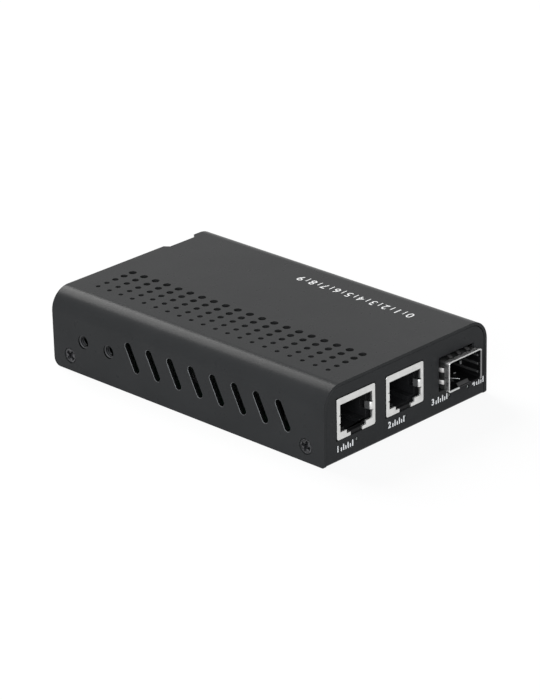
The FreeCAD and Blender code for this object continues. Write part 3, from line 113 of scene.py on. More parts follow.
class FinishSettings(bpy.types.PropertyGroup):
    coat: colour("Coat", "Black powder coat of the housing", (0.0222, 0.0228, 0.0235))
    coat_roughness: share("Coat roughness", "How dull the powder coat is", 0.29)
    coat_specular: share("Coat shine", "Strength of the coat's surface reflection", 0.048)
    coat_grain: length("Coat grain", "Width of one bump of the powder coat", 0.25)
    # Edge highlight coat: a lighter, shinier copy of the coat that paints a highlight on the slots'
    # punched edges.
    thin_coat: colour("Thin coat", "Coat that is thin on punched edges", (0.125, 0.127, 0.13))
    # Painted shade: a near-black copy of the coat on the walls of the slots and tapped holes.
    inner_coat: colour("Inner coat", "Coat in the slots and tapped holes", (0.0030, 0.0031, 0.0032))
    # Painted shade: a darker copy of the coat on the walls of the vent holes.
    vent_coat: colour("Vent coat", "Coat on the walls of the vent holes", (0.0165, 0.0165, 0.0165))
    tin: colour("Tin", "Tinned sheet of the copper jacks", (0.68, 0.68, 0.67))
    # Painted shade: a dark copy of the tin on the deeper part of the jacks' spring tabs.
    dull_tin: colour("Dull tin", "Tinned sheet inside the copper jacks", (0.075, 0.075, 0.075))
    nickel: colour("Nickel", "Nickel plate of the module cage", (0.24, 0.24, 0.24))
    # Painted shade: a near-black copy of the nickel inside the cage, behind its rim and on its right
    # side.
    dark_nickel: colour("Dark nickel", "Dull inside of the module cage", (0.020, 0.020, 0.021))
    # Painted highlight: a bright copy of the nickel on the cage's rim and on small glint pieces
    # inside.
    bright_nickel: colour("Bright nickel", "Rim and rubbed spots of the cage", (0.62, 0.62, 0.61))
    spring: colour("Spring strip", "Bright strip of the spring collar", (0.80, 0.79, 0.78))
    # Painted shade: a dark copy of the strip on the upper and lower fingers, the band's bottom and
    # the cage's tongue.
    dull_spring: colour("Dull strip", "Upper and lower fingers of the collar", (0.055, 0.055, 0.056))
    moulding: colour("Moulding", "Black mouldings in the ports", (0.006, 0.006, 0.0065))
    gold: colour("Gold", "Plated contacts", (0.86, 0.62, 0.26))
    board: colour("Board", "Solder resist on the board", (0.0025, 0.0070, 0.0045))
    print_white: colour("Print", "White marks on the housing", (0.80, 0.80, 0.80))
    screw: colour("Screw", "Black zinc of the cover screws", (0.016, 0.016, 0.017))
    thread: colour("Thread", "Coated steel of the tapped holes", (0.07, 0.071, 0.074))


class CoverSettings(bpy.types.PropertyGroup):
    sheet: length("Sheet", "Thickness of the folded sheet", 1.0)
    bend: length("Bend", "Outer radius of the two long bends", 7.0)
    front_corner: length("Front corner", "Radius of the flanges' front corners", 1.0)
    rear_corner: length("Rear corner", "Radius of the flanges' rear corners", 2.5)
    edge: length("Edge", "Rounding of the sheet's edges", 0.035)
    mouth: length("Mouth", "Rounding of the edge of each vent hole", 0.12)
    slot_mouth: length("Slot mouth", "Rounding of the edge of each slot", 0.11)
    notch_centre: length("Notch place", "Sideways place of the rear notch", 19.3)
    notch_floor: length("Notch floor", "Width of the rear notch at its floor", 11.0)
    notch_flare: length("Notch flare", "How far each side of the notch opens", 1.3)
    notch_depth: length("Notch depth", "Depth of the rear notch", 1.7)
    vent_rows: count("Vent rows", "Rows of vent holes", 5)
    vent_columns: count("Vent columns", "Vent holes in each row", 20)
    vent_row_pitch: length("Row pitch", "Distance between two rows of vents", 3.7)
    vent_column_pitch: length("Column pitch", "Distance between two vents of a row", 5.115)
    vent_side_inset: length("Side inset", "Cover's left side to the first row", 11.65)
    vent_front_inset: length("Front inset", "Cover's front edge to the first vents", 8.95)
    vent_least: length("Least vent", "Diameter of the vents in the first row", 1.3)
    vent_growth: length("Vent growth", "By how much each row's vents are wider", 0.25)
    slot_count: count("Slots", "Slanted slots in each flange", 8)
    slot_pitch: length("Slot pitch", "Distance between two slots", 9.03)
    slot_width: length("Slot width", "Width of one slot", 2.6)
    slot_rise: length("Slot rise", "Height between the slot's two round ends", 6.75)
    slot_lean: length("Slot lean", "How far the slot's top lies further back", 3.4)
    slot_height: length("Slot height", "Height of the slots' middle", 12.1)
    slot_rear_inset: length("Slot inset", "Rear edge to the last slot", 35.45)
    collar_diameter: length("Collar", "Outer diameter of the collars of the tapped holes", 6.2)
    collar_depth: length("Collar depth", "How far the collars reach inwards", 1.6)


class JackSettings(bpy.types.PropertyGroup):
    sheet: length("Sheet", "Thickness of the shield's sheet", 0.3)
    corner: length("Corner", "Radius of the shield's long corners", 0.7)
    rim: length("Rim", "Rounding of the edge round the shield's face", 0.12)
    side_border: length("Side border", "Width of the face beside the window", 1.35)
    top_border: length("Top border", "Height of the face above the window", 2.1)
    window_sill: length("Window sill", "Height of the window's lower edge", 2.35)
    step_width: length("Step width", "Width of the first latch step", 8.3)
    step_sill: length("Step sill", "Height of the first latch step's lower edge", 1.15)
    gap_width: length("Latch gap", "Width of the gap at the bottom of the face", 5.0)
    tab_sill: length("Tab sill", "Height of the spring tabs' lower edge", 5.0)
    tab_height: length("Tab height", "Height of the spring tabs", 2.4)
    tab_slit: length("Tab slit", "Height of the slits above and below each tab", 0.35)
    tab_root: length("Tab root", "How deep the slits run into the border", 0.4)
    tab_turn: length("Tab bend", "Run of a spring tab's bend", 0.85)
    tab_reach: length("Tab reach", "Straight part of a spring tab behind its bend", 1.6)
    tab_angle: angle("Tab angle", "How far a spring tab leans into the jack", 14)
    lining: length("Lining", "Depth of the window's turned-in edge", 0.4)
    leg_place: length("Leg place", "Face of the jack to its board legs", 8.0)
    leg_width: length("Leg width", "Width of a board leg", 1.6)
    wire: length("Contact wire", "Thickness of one contact wire", 0.4)
    contact_pitch: length("Contact pitch", "Distance between two contacts", 1.02)
    contact_count: count("Contacts", "Contacts in each jack", 8)


class CageSettings(bpy.types.PropertyGroup):
    sheet: length("Sheet", "Thickness of the cage's sheet", 0.3)
    corner: length("Corner", "Radius of the cage's long corners", 0.6)
    stand: length("Stand", "Height of the cage's underside above the board", 1.05)
    lip: length("Lip", "How far the mouth's rim turns out", 0.3)
    flare: length("Flare", "Depth over which the rim turns out", 0.3)
    tail: length("Tail", "Length of the open floor at the cage's rear", 10.0)
    tongue_width: length("Tongue width", "Width of the guide tongue", 5.0)
    tongue_setback: length("Tongue setback", "Rim to the crest of the guide tongue", 1.3)
    tongue_rise: length("Tongue rise", "Height of the tongue's crest above the floor", 0.75)
    rib_start: length("Rib start", "Rim to the start of the pressed ribs", 0.7)
    rib_length: length("Rib length", "Length of the pressed ribs", 12.0)
    rib_width: length("Rib width", "Width of the pressed ribs in the cage's walls", 0.9)
    rib_depth: length("Rib depth", "How far the ribs stand into the cage", 0.4)
    leg_place: length("Leg place", "Rim to the first board legs", 10.0)
    leg_pitch: length("Leg pitch", "First to second row of board legs", 26.0)
    leg_width: length("Leg width", "Width of a board leg", 1.6)
    latch_start: length("Latch start", "Rim to the wide edge of the latch hole", 3.8)
    latch_end: length("Latch end", "Rim to the point of the latch hole", 6.6)
    latch_width: length("Latch width", "Width of the latch hole's wide edge", 3.9)
    strip: length("Strip", "Thickness of the spring collar", 0.2)
    band: length("Band", "Width of the collar's closed band", 1.5)
    finger_width: length("Finger width", "Width of one spring finger", 1.35)
    finger_pitch: length("Finger pitch", "Distance between two spring fingers", 3.9)


class FastenerSettings(bpy.types.PropertyGroup):
    head: length("Head", "Diameter of a cover screw's head", 4.6)
    shank: length("Shank", "Diameter of a cover screw's shank", 3.0)
    seat: length("Seat", "Diameter of the countersunk seat at the cover's face", 5.1)
    seat_wall: length("Seat wall", "Depth of the seat's straight wall round the head", 0.45)
    recess_span: length("Recess span", "Span of the cross recess", 3.8)
    recess_width: length("Recess width", "Width of one wing of the cross recess", 1.15)
    recess_depth: length("Recess depth", "Depth of the cross recess", 1.1)
    thread_pitch: length("Thread pitch", "Pitch of the tapped bracket holes", 0.7)
    thread_depth: length("Thread depth", "Depth of the thread's ridge", 0.38)
    thread_start: length("Thread start", "Cover's face to the middle of the first turn", 0.55)
    bracket_hole: length("Bracket hole", "Diameter of the tapped bracket holes", 4.4)
    bracket_inset: length("Bracket inset", "Rear edge to the first bracket hole", 13.7)
    bracket_pitch: length("Bracket pitch", "Distance between the two bracket holes", 11.3)
    bracket_height: length("Bracket height", "Height of the bracket holes", 11.2)
    bracket_depth: length("Bracket depth", "Length of the thread", 2.6)


class MarkSettings(bpy.types.PropertyGroup):
    thickness: length("Thickness", "Thickness of the printed ink", 0.004)
    line: length("Line", "Width of one printed tick", 0.48)
    port_height: length("Port mark height", "Height of the marks beside the ports", 2.0)
    port_length: length("Port mark length", "Length of the marks beside the ports", 7.9)
    jack_row: length("Jack row", "Height of the marks under the copper jacks", 4.17)
    cage_row: length("Cage row", "Height of the marks beside the module cage", 4.92)
    left_jack: length("Left jack mark", "Sideways place of the left jack's mark", -30.9)
    middle_jack: length("Middle jack mark", "Sideways place of the middle jack's mark", -8.6)
    cage_left: length("Cage mark", "Sideways place of the mark at the cage's left", 10.7)
    cage_right: length("Power mark", "Sideways place of the mark at the cage's right", 29.3)
    top_height: length("Top mark height", "Height of the numbers on the cover", 3.3)
    top_line: length("Top line", "Width of a tick on the cover", 0.34)
    top_length: length("Top mark length", "Length of the row of numbers on the cover", 48.1)
    top_centre: length("Top mark place", "Sideways place of the row of numbers", 21.6)
    top_inset: length("Top mark inset", "Front edge to the row of numbers", 16.4)
    top_numbers: count("Numbers", "Numbers in the row on the cover", 10)


class StageSettings(bpy.types.PropertyGroup):
    azimuth: angle("Azimuth", "Where the camera stands round the object", -45.532)
    elevation: angle("Elevation", "How high the camera stands", 23.396)
    roll: angle("Roll", "How far the camera leans", -1.331)
    distance: length("Distance", "Camera to the point it looks at", 962.935)
    aim: bpy.props.FloatVectorProperty(
        name="Aim", description="The point that the camera looks at", size=3,
        default=(3.076 * MM, 1.748 * MM, 7.904 * MM), subtype="XYZ", unit="LENGTH")
    lens: bpy.props.FloatProperty(
        name="Lens", description="Focal length", default=161.039, unit="CAMERA")
    world: share("World", "Light that comes from all round", 0.08, 10.0)
    rear_light: share("Rear light", "Strength of the soft light above and behind", 13.4, 1000.0)
    front_light: share("Front light", "Strength of the soft light at the front left", 10.4, 1000.0)
    left_light: share("Left light", "Strength of the soft light on the left", 1.0, 1000.0)
    right_light: share("Right light", "Strength of the soft light on the right", 0.5, 1000.0)
    lamp_size: length("Lamp size", "Width of each soft light", 600)
    lamp_distance: length("Lamp distance", "Each soft light to the object", 1000)


# ------------------------------------------------------------------------------ modelling tools

def deselect():
    bpy.ops.object.select_all(action="DESELECT")


def make_active(piece):
    deselect()
    piece.select_set(True)
    bpy.context.view_layer.objects.active = piece


@contextmanager
def editing(piece):
    """Edit mode on one piece, with nothing selected at first."""
    make_active(piece)
    bpy.ops.object.mode_set(mode="EDIT")
    bpy.ops.mesh.select_all(action="DESELECT")
    yield
    bpy.ops.object.mode_set(mode="OBJECT")


def select_corners(piece, wanted):
    """In edit mode, selects just the corner points that pass a test of their place."""
    bpy.ops.mesh.select_mode(type="VERT")
    bpy.ops.mesh.select_all(action="DESELECT")
    mesh = bmesh.from_edit_mesh(piece.data)
    for corner in mesh.verts:
        corner.select_set(wanted(corner.co))
    bmesh.update_edit_mesh(piece.data)


def select_faces(piece, wanted):
    """In edit mode, selects just the faces that pass a test of their centre and normal."""
    bpy.ops.mesh.select_mode(type="FACE")
    bpy.ops.mesh.select_all(action="DESELECT")
    mesh = bmesh.from_edit_mesh(piece.data)
    for face in mesh.faces:
        face.select_set(wanted(face.calc_center_median(), face.normal))
    mesh.select_flush_mode()
    bmesh.update_edit_mesh(piece.data)


def select_edges(piece, wanted):
    """In edit mode, selects just the edges that pass a test of their middle and direction."""
    bpy.ops.mesh.select_mode(type="EDGE")
    bpy.ops.mesh.select_all(action="DESELECT")
    mesh = bmesh.from_edit_mesh(piece.data)
    for edge in mesh.edges:
        start, end = edge.verts[0].co, edge.verts[1].co
        direction = (end - start).normalized()
        edge.select_set(wanted((start + end) / 2, direction))
    mesh.select_flush_mode()
    bmesh.update_edit_mesh(piece.data)


def selected_middle(piece):
    """In edit mode, the middle of the selected points."""
    mesh = bmesh.from_edit_mesh(piece.data)
    chosen = [corner.co for corner in mesh.verts if corner.select]
    return sum(chosen, Vector()) / len(chosen)


def along(direction, axis):
    return abs(direction.dot(axis)) > 0.999


def near(one, other, slack=1e-6):
    return abs(one - other) < slack


def across(out, grow):
    """Scale factors that widen by grow across the main axis of out and leave that axis alone."""
    return tuple(1 if abs(part) > 0.5 else grow for part in out)


def apply_place(piece):
    make_active(piece)
    bpy.ops.object.transform_apply(location=True, rotation=True, scale=True)


def add_block(name, low, high):
    """A block between two corners, as the start of a piece or as a cutter."""
    low, high = Vector(low), Vector(high)
    deselect()
    bpy.ops.mesh.primitive_cube_add(size=1, location=(low + high) / 2)
    block = bpy.context.object
    block.name = name
    block.scale = high - low
    apply_place(block)
    return block


def add_rod(name, start, end, radius, sides=48):
    """A closed cylinder between two points."""
    start, end = Vector(start), Vector(end)
    run = end - start
    deselect()
    bpy.ops.mesh.primitive_cylinder_add(
        vertices=sides, radius=radius, depth=run.length, location=(start + end) / 2,
        rotation=run.to_track_quat("Z", "Y").to_euler())
    rod = bpy.context.object
    rod.name = name
    apply_place(rod)
    return rod


def apply_modifier(piece, kind, **values):
    make_active(piece)
    modifier = piece.modifiers.new(kind.lower(), kind)
    for name, value in values.items():
        setattr(modifier, name, value)
    bpy.ops.object.modifier_apply(modifier=modifier.name)


def combine(piece, operation, *tools):
    for tool in tools:
        apply_modifier(piece, "BOOLEAN", operation=operation, solver="EXACT", object=tool)
        bpy.data.objects.remove(tool)
    return piece


def cut(piece, *cutters):
    """Cuts the cutters out of the piece, one after another, and removes them."""
    return combine(piece, "DIFFERENCE", *cutters)


def join(name, pieces):
    """One object out of several."""
    deselect()
    for piece in pieces:
        piece.select_set(True)
    bpy.context.view_layer.objects.active = pieces[0]
    if len(pieces) > 1:
        bpy.ops.object.join()
    joined = bpy.context.object
    joined.name = name
    joined.data.name = name
    return joined


def copy_of(piece, name, move=Vector(), turn=None):
    """A copy with its own mesh, turned about the origin and then moved."""
    duplicate = piece.copy()
    duplicate.data = piece.data.copy()
    duplicate.name = name
    bpy.context.scene.collection.objects.link(duplicate)
    matrix = Matrix.Translation(move)
    if turn is not None:
        matrix = matrix @ turn
    duplicate.data.transform(matrix)
    return duplicate


def repeat(piece, times, step):
    """The piece and its further copies, each one step on from the last."""
    return [piece] + [copy_of(piece, piece.name, step * number) for number in range(1, times)]


def extrude(move):
    """In edit mode, extrudes the selected faces and moves them on."""
    bpy.ops.mesh.extrude_region_move(TRANSFORM_OT_translate={"value": move})


def resize_end(piece, way, scale):
    """Narrows or widens the end face that looks along way."""
    way = Vector(way)
    with editing(piece):
        select_faces(piece, lambda at, out: out.dot(way) > 0.99)
        bpy.ops.transform.resize(value=scale)
    return piece


def bevel(piece, wanted, width, segments=3):
    """Rounds the chosen edges."""
    with editing(piece):
        select_edges(piece, wanted)
        bpy.ops.mesh.bevel(offset=width, segments=segments, affect="EDGES", profile=0.5)
    return piece


def round_corners(piece, wanted, radius, segments=8):
    """Rounds the chosen corner points of an open sheet."""
    with editing(piece):
        select_corners(piece, wanted)
        bpy.ops.mesh.bevel(offset=radius, segments=segments, affect="VERTICES", profile=0.5)
    return piece


def soften(piece, width, limit=35):
    """Takes the sharpness off every edge."""
    apply_modifier(piece, "BEVEL", width=width, segments=2, limit_method="ANGLE",
                   angle_limit=math.radians(limit), use_clamp_overlap=True)
    return piece


def bend_on(piece, normal, steps, axis):
    """Extrudes the end face that looks along normal; each step turns it, then advances it."""
    heading = Vector(normal).normalized()
    with editing(piece):
        furthest = max(corner.co.dot(heading) for corner in bmesh.from_edit_mesh(piece.data).verts)
        select_faces(piece, lambda centre, out: out.dot(heading) > 0.99
                     and near(centre.dot(heading), furthest, 1e-5))
        for advance, turn in steps:
            heading = Matrix.Rotation(turn, 3, axis) @ heading
            middle = selected_middle(piece)
            bpy.ops.mesh.extrude_region_move()
            turn_selected(turn, axis, middle)
            bpy.ops.transform.translate(value=heading * advance)
    return piece


def turn_selected(turn, axis, centre):
    """In edit mode, turns the selection about a point.

    Without a window the operator turns the other way, so its value has the opposite sign.
    """
    bpy.ops.transform.rotate(value=-turn, orient_axis=axis, orient_type="GLOBAL",
                             center_override=centre)


def punch(name, place, out, radius, mouth, reach, coats, sides=24):
    """A round punch that enters at place, against out, and opens a little at the surface."""
    place, out = Vector(place), Vector(out)
    tool = add_rod(name, place - out * reach, place - out * mouth, radius, sides)
    put_on(tool, coats)
    return open_mouth(tool, out, across(out, (radius + mouth) / radius), mouth)


def put_on(piece, materials):
    """Gives a piece its materials, in their order."""
    piece.data.materials.clear()
    for material in materials:
        piece.data.materials.append(material)


def finish_faces(piece, index, wanted):
    """Gives the chosen faces the material at an index."""
    with editing(piece):
        select_faces(piece, wanted)
        piece.active_material_index = index
        bpy.ops.object.material_slot_assign()
    return piece


def open_mouth(tool, out, widen, mouth):
    """Widens the end of a punch over the mouth's depth, then lets it stand out of the sheet."""
    with editing(tool):
        select_faces(tool, lambda at, way: way.dot(out) > 0.99)
        extrude(out * mouth)
        bpy.ops.transform.resize(value=widen)
        extrude(out * mouth * 2)
        # The widened faces take the second material; on the cover's slots that is a painted
        # highlight.
        select_faces(tool, lambda at, way: 0.2 < abs(way.dot(out)) < 0.95)
        tool.active_material_index = 1
        bpy.ops.object.material_slot_assign()
    return tool


def softened_copy(node, name, width, limit=40):
    """A merged copy of one of the model's solids, with its sharp edges taken off."""
    solid = frame["nodes"][node]
    piece = solid.copy()
    piece.data = solid.data.copy()
    piece.name = name
    for key in [key for key in piece.keys() if key.startswith("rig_")]:
        del piece[key]
    piece.parent = None
    bpy.context.scene.collection.objects.link(piece)
    with editing(piece):
        bpy.ops.mesh.select_all(action="SELECT")
        bpy.ops.mesh.remove_doubles(threshold=0.002 * MM)
        bpy.ops.mesh.dissolve_limited(angle_limit=math.radians(0.5))
    return soften(piece, width, limit)


def smooth(piece, limit=30):
    """Shades rounded faces smoothly and keeps the flat ones flat."""
    make_active(piece)
    bpy.ops.object.shade_smooth_by_angle(angle=math.radians(limit))
    apply_modifier(piece, "WEIGHTED_NORMAL", keep_sharp=True, weight=50)


def dress(piece, materials, slot, *nodes, limit=30):
    """Finishes a piece: its materials, its ride on the housing and the node it stands for."""
    while len(piece.data.materials) < len(materials):
        piece.data.materials.append(None)
    for index, material in enumerate(materials):
        piece.data.materials[index] = material
    while len(piece.data.materials) > len(materials):
        piece.data.materials.pop()
    smooth(piece, limit)
    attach(piece, "root")
    if nodes:
        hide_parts(*nodes)
    return piece


def board_leg(sizes, low, high, side, front, foot, taper):
    """A leg in the plane of a sheet wall that narrows towards its foot in the board."""
    half = sizes.sheet / 2
    wall = low.x + half if side < 0 else high.x - half
    leg = add_block("leg", (wall - half, front, foot),
                    (wall + half, front + sizes.leg_width, low.z + sizes.sheet))
    return resize_end(leg, -AXIS_Z, (0.8, taper, 1))


def bracket_places(fasteners):
    """The four tapped holes' places on the flanges, each with the way out of the box."""
    for side in (-1, 1):
        for step in (0, 1):
            y = COVER_HIGH.y - fasteners.bracket_inset - step * fasteners.bracket_pitch
            yield Vector((side * COVER_HIGH.x, y, fasteners.bracket_height)), AXIS_X * side


def coat_node(node, material):
    """Gives a solid of the model its finish."""
    solid = frame["nodes"][node]
    solid.data.materials.clear()
    solid.data.materials.append(material)


# ------------------------------------------------------------------------------ finishes

class Finish:
    """A node material around one shader, with patterns in the object's own coordinates."""

    def __init__(self, name, **sockets):
        self.material = bpy.data.materials.new(name)
        self.material.use_nodes = True
        self.nodes = self.material.node_tree.nodes
        self.links = self.material.node_tree.links
        self.shader = self.nodes["Principled BSDF"]
        self.place = self.nodes.new("ShaderNodeTexCoord").outputs["Object"]
        for socket, value in sockets.items():
            self.shader.inputs[socket.replace("_", " ")].default_value = value

    def noise(self, width, detail=3.0, roughness=0.55, stretch=(1, 1, 1)):
        """Soft random variation whose features are about this wide."""
        mapping = self.nodes.new("ShaderNodeMapping")
        mapping.inputs["Scale"].default_value = stretch
        texture = self.nodes.new("ShaderNodeTexNoise")
        texture.inputs["Scale"].default_value = 1 / width
        texture.inputs["Detail"].default_value = detail
        texture.inputs["Roughness"].default_value = roughness
        self.links.new(self.place, mapping.inputs["Vector"])
        self.links.new(mapping.outputs["Vector"], texture.inputs["Vector"])
        return texture.outputs["Fac"]

    def cells(self, width, feature="F1"):
        texture = self.nodes.new("ShaderNodeTexVoronoi")
        texture.feature = feature
        texture.inputs["Scale"].default_value = 1 / width
        self.links.new(self.place, texture.inputs["Vector"])
        return texture.outputs["Distance"]

    def range(self, factor, low, high, start=0.0, end=1.0):
        """Maps a factor between start and end on values from low to high."""
        mapping = self.nodes.new("ShaderNodeMapRange")
        values = {"From Min": start, "From Max": end, "To Min": low, "To Max": high}
        for socket, value in values.items():
            mapping.inputs[socket].default_value = value
        self.links.new(factor, mapping.inputs["Value"])
        return mapping.outputs["Result"]

    def ramp(self, factor, *glint_pieces):
        """Colours by position along a factor."""
        node = self.nodes.new("ShaderNodeValToRGB")
        elements = node.color_ramp.elements
        while len(elements) < len(glint_pieces):
            elements.new(0.5)
        for element, (position, value) in zip(elements, glint_pieces):
            element.position = position
            element.color = (*value, 1)
        self.links.new(factor, node.inputs["Fac"])
        return node.outputs["Color"]

    def into(self, socket, output):
        self.links.new(output, self.shader.inputs[socket])
        return self

    def colours(self, factor, *glint_pieces):
        """Base colours along a factor."""
        return self.into("Base Color", self.ramp(factor, *glint_pieces))

    def dullness(self, factor, low, high):
        """Roughness from low to high along the middle part of a factor."""
        return self.into("Roughness", self.range(factor, low, high, 0.3, 0.7))

    def bump(self, height, distance, strength=1.0):
        node = self.nodes.new("ShaderNodeBump")
        node.inputs["Distance"].default_value = distance
        node.inputs["Strength"].default_value = strength
        self.links.new(height, node.inputs["Height"])
        self.links.new(node.outputs["Normal"], self.shader.inputs["Normal"])
        return self


def shade(value, factor):
    return tuple(min(1.0, part * factor) for part in value)


def powder_coat(settings):
    """Fine-textured black powder coat: a slight orange peel and faint clouding."""
    finish = Finish("powder_coat", Specular_IOR_Level=settings.coat_specular)
    cloud = finish.noise(14 * MM, detail=2.0)
    base = tuple(settings.coat)
    finish.colours(cloud, (0.3, shade(base, 0.95)), (0.7, shade(base, 1.05)))
    fine = finish.noise(3 * MM)
    rough = settings.coat_roughness
    finish.dullness(fine, rough - 0.02, rough + 0.02)
    finish.bump(finish.noise(settings.coat_grain, detail=1.5), 0.012 * MM, 0.25)
    return finish.material


def thin_coat(settings):
    """Painted highlight on the rounded punched edges of the slots: a lighter, shinier copy of the
    powder coat, patchy at random.
    """
    finish = Finish("thin_coat", Specular_IOR_Level=settings.coat_specular * 3)
    # Random patches in the painted highlight.
    highlight_patches = finish.noise(1.2 * MM, detail=3.0)
    base = tuple(settings.thin_coat)
    finish.colours(highlight_patches, (0.35, shade(base, 0.55)), (0.6, base))
    finish.dullness(highlight_patches, 0.35, 0.5)
    finish.bump(finish.noise(settings.coat_grain, detail=1.5), 0.01 * MM, 0.3)
    return finish.material


def inner_coat(settings, name, base):
    """Painted shade on the walls of the holes: a dark, matt copy of the powder coat."""
    finish = Finish(name, Specular_IOR_Level=0.01)
    cloud = finish.noise(1.5 * MM)
    finish.colours(cloud, (0.3, shade(base, 0.8)), (0.7, shade(base, 1.2)))
    finish.dullness(cloud, 0.7, 0.85)
    finish.bump(finish.noise(settings.coat_grain, detail=1.5), 0.012 * MM, 0.4)
    return finish.material


def plated_sheet(name, value, roughness, grain=(1, 1, 8), metal=1.0):
    """Plated sheet metal: rolling lines, small stains and a half-bright sheen."""
    finish = Finish(name, Metallic=metal)
    lines = finish.noise(0.8 * MM, detail=4.0, stretch=grain)
    stains = finish.noise(2.5 * MM, detail=3.0)
    finish.colours(stains, (0.25, shade(value, 0.86)), (0.6, value))
    finish.dullness(lines, roughness - 0.06, roughness + 0.08)
    finish.bump(lines, 0.004 * MM, 0.35)
    return finish.material


def moulded_black(name, value, roughness=0.42, shine=0.4):
    """Black moulding with a fine spark-eroded texture."""
    finish = Finish(name, Specular_IOR_Level=shine)
    grain = finish.noise(0.18 * MM, detail=2.0)
    cloud = finish.noise(3 * MM)
    finish.colours(cloud, (0.3, shade(value, 0.85)), (0.7, shade(value, 1.2)))
    finish.dullness(cloud, roughness - 0.05, roughness + 0.06)
    finish.bump(grain, 0.006 * MM, 0.5)
    return finish.material


def solder_resist(value):
    """Dark green board with copper tracks that shine faintly through the resist."""
    finish = Finish("solder_resist", Specular_IOR_Level=0.12)
    tracks = finish.cells(3.2 * MM, "DISTANCE_TO_EDGE")
    finish.colours(tracks, (0.0, shade(value, 1.8)), (0.06, shade(value, 1.7)), (0.09, value))
    finish.dullness(finish.noise(6 * MM), 0.45, 0.6)
    finish.bump(finish.range(tracks, 1.0, 0.0, 0.05, 0.09), 0.02 * MM, 0.6)
    return finish.material


def clear_resin():
    """Milky clear resin of the side-shining lamps."""
    finish = Finish("clear_resin", Roughness=0.18, IOR=1.52, Transmission_Weight=0.55)
    haze = finish.noise(0.7 * MM)
    finish.colours(haze, (0.3, (0.62, 0.66, 0.62)), (0.7, (0.8, 0.82, 0.78)))
    finish.bump(haze, 0.003 * MM, 0.3)
    return finish.material


def ground_ferrite():
    finish = Finish("ground_ferrite", Specular_IOR_Level=0.55)
    grit = finish.noise(0.12 * MM, detail=4.0)
    finish.colours(grit, (0.3, (0.035, 0.036, 0.04)), (0.7, (0.07, 0.07, 0.075)))
    finish.dullness(grit, 0.4, 0.6)
    finish.bump(grit, 0.01 * MM, 0.5)
    return finish.material


def white_ink(value):
    """Screen-printed white ink with slightly uneven cover."""
    finish = Finish("white_ink", Specular_IOR_Level=0.3)
    cover = finish.noise(0.5 * MM, detail=3.0)
    finish.colours(cover, (0.3, shade(value, 0.86)), (0.6, value))
    finish.dullness(cover, 0.45, 0.6)
    return finish.material


def black_zinc(value):
    """Black zinc plate with small bright spots at random: painted highlights."""
    finish = Finish("black_zinc", Metallic=0.75)
    highlight_spots = finish.noise(0.5 * MM, detail=4.0)
    # Bright spots at random: painted highlights.
    finish.colours(highlight_spots, (0.44, value), (0.58, shade(value, 5)))
    finish.dullness(highlight_spots, 0.3, 0.42)
    finish.bump(highlight_spots, 0.004 * MM, 0.4)
    return finish.material


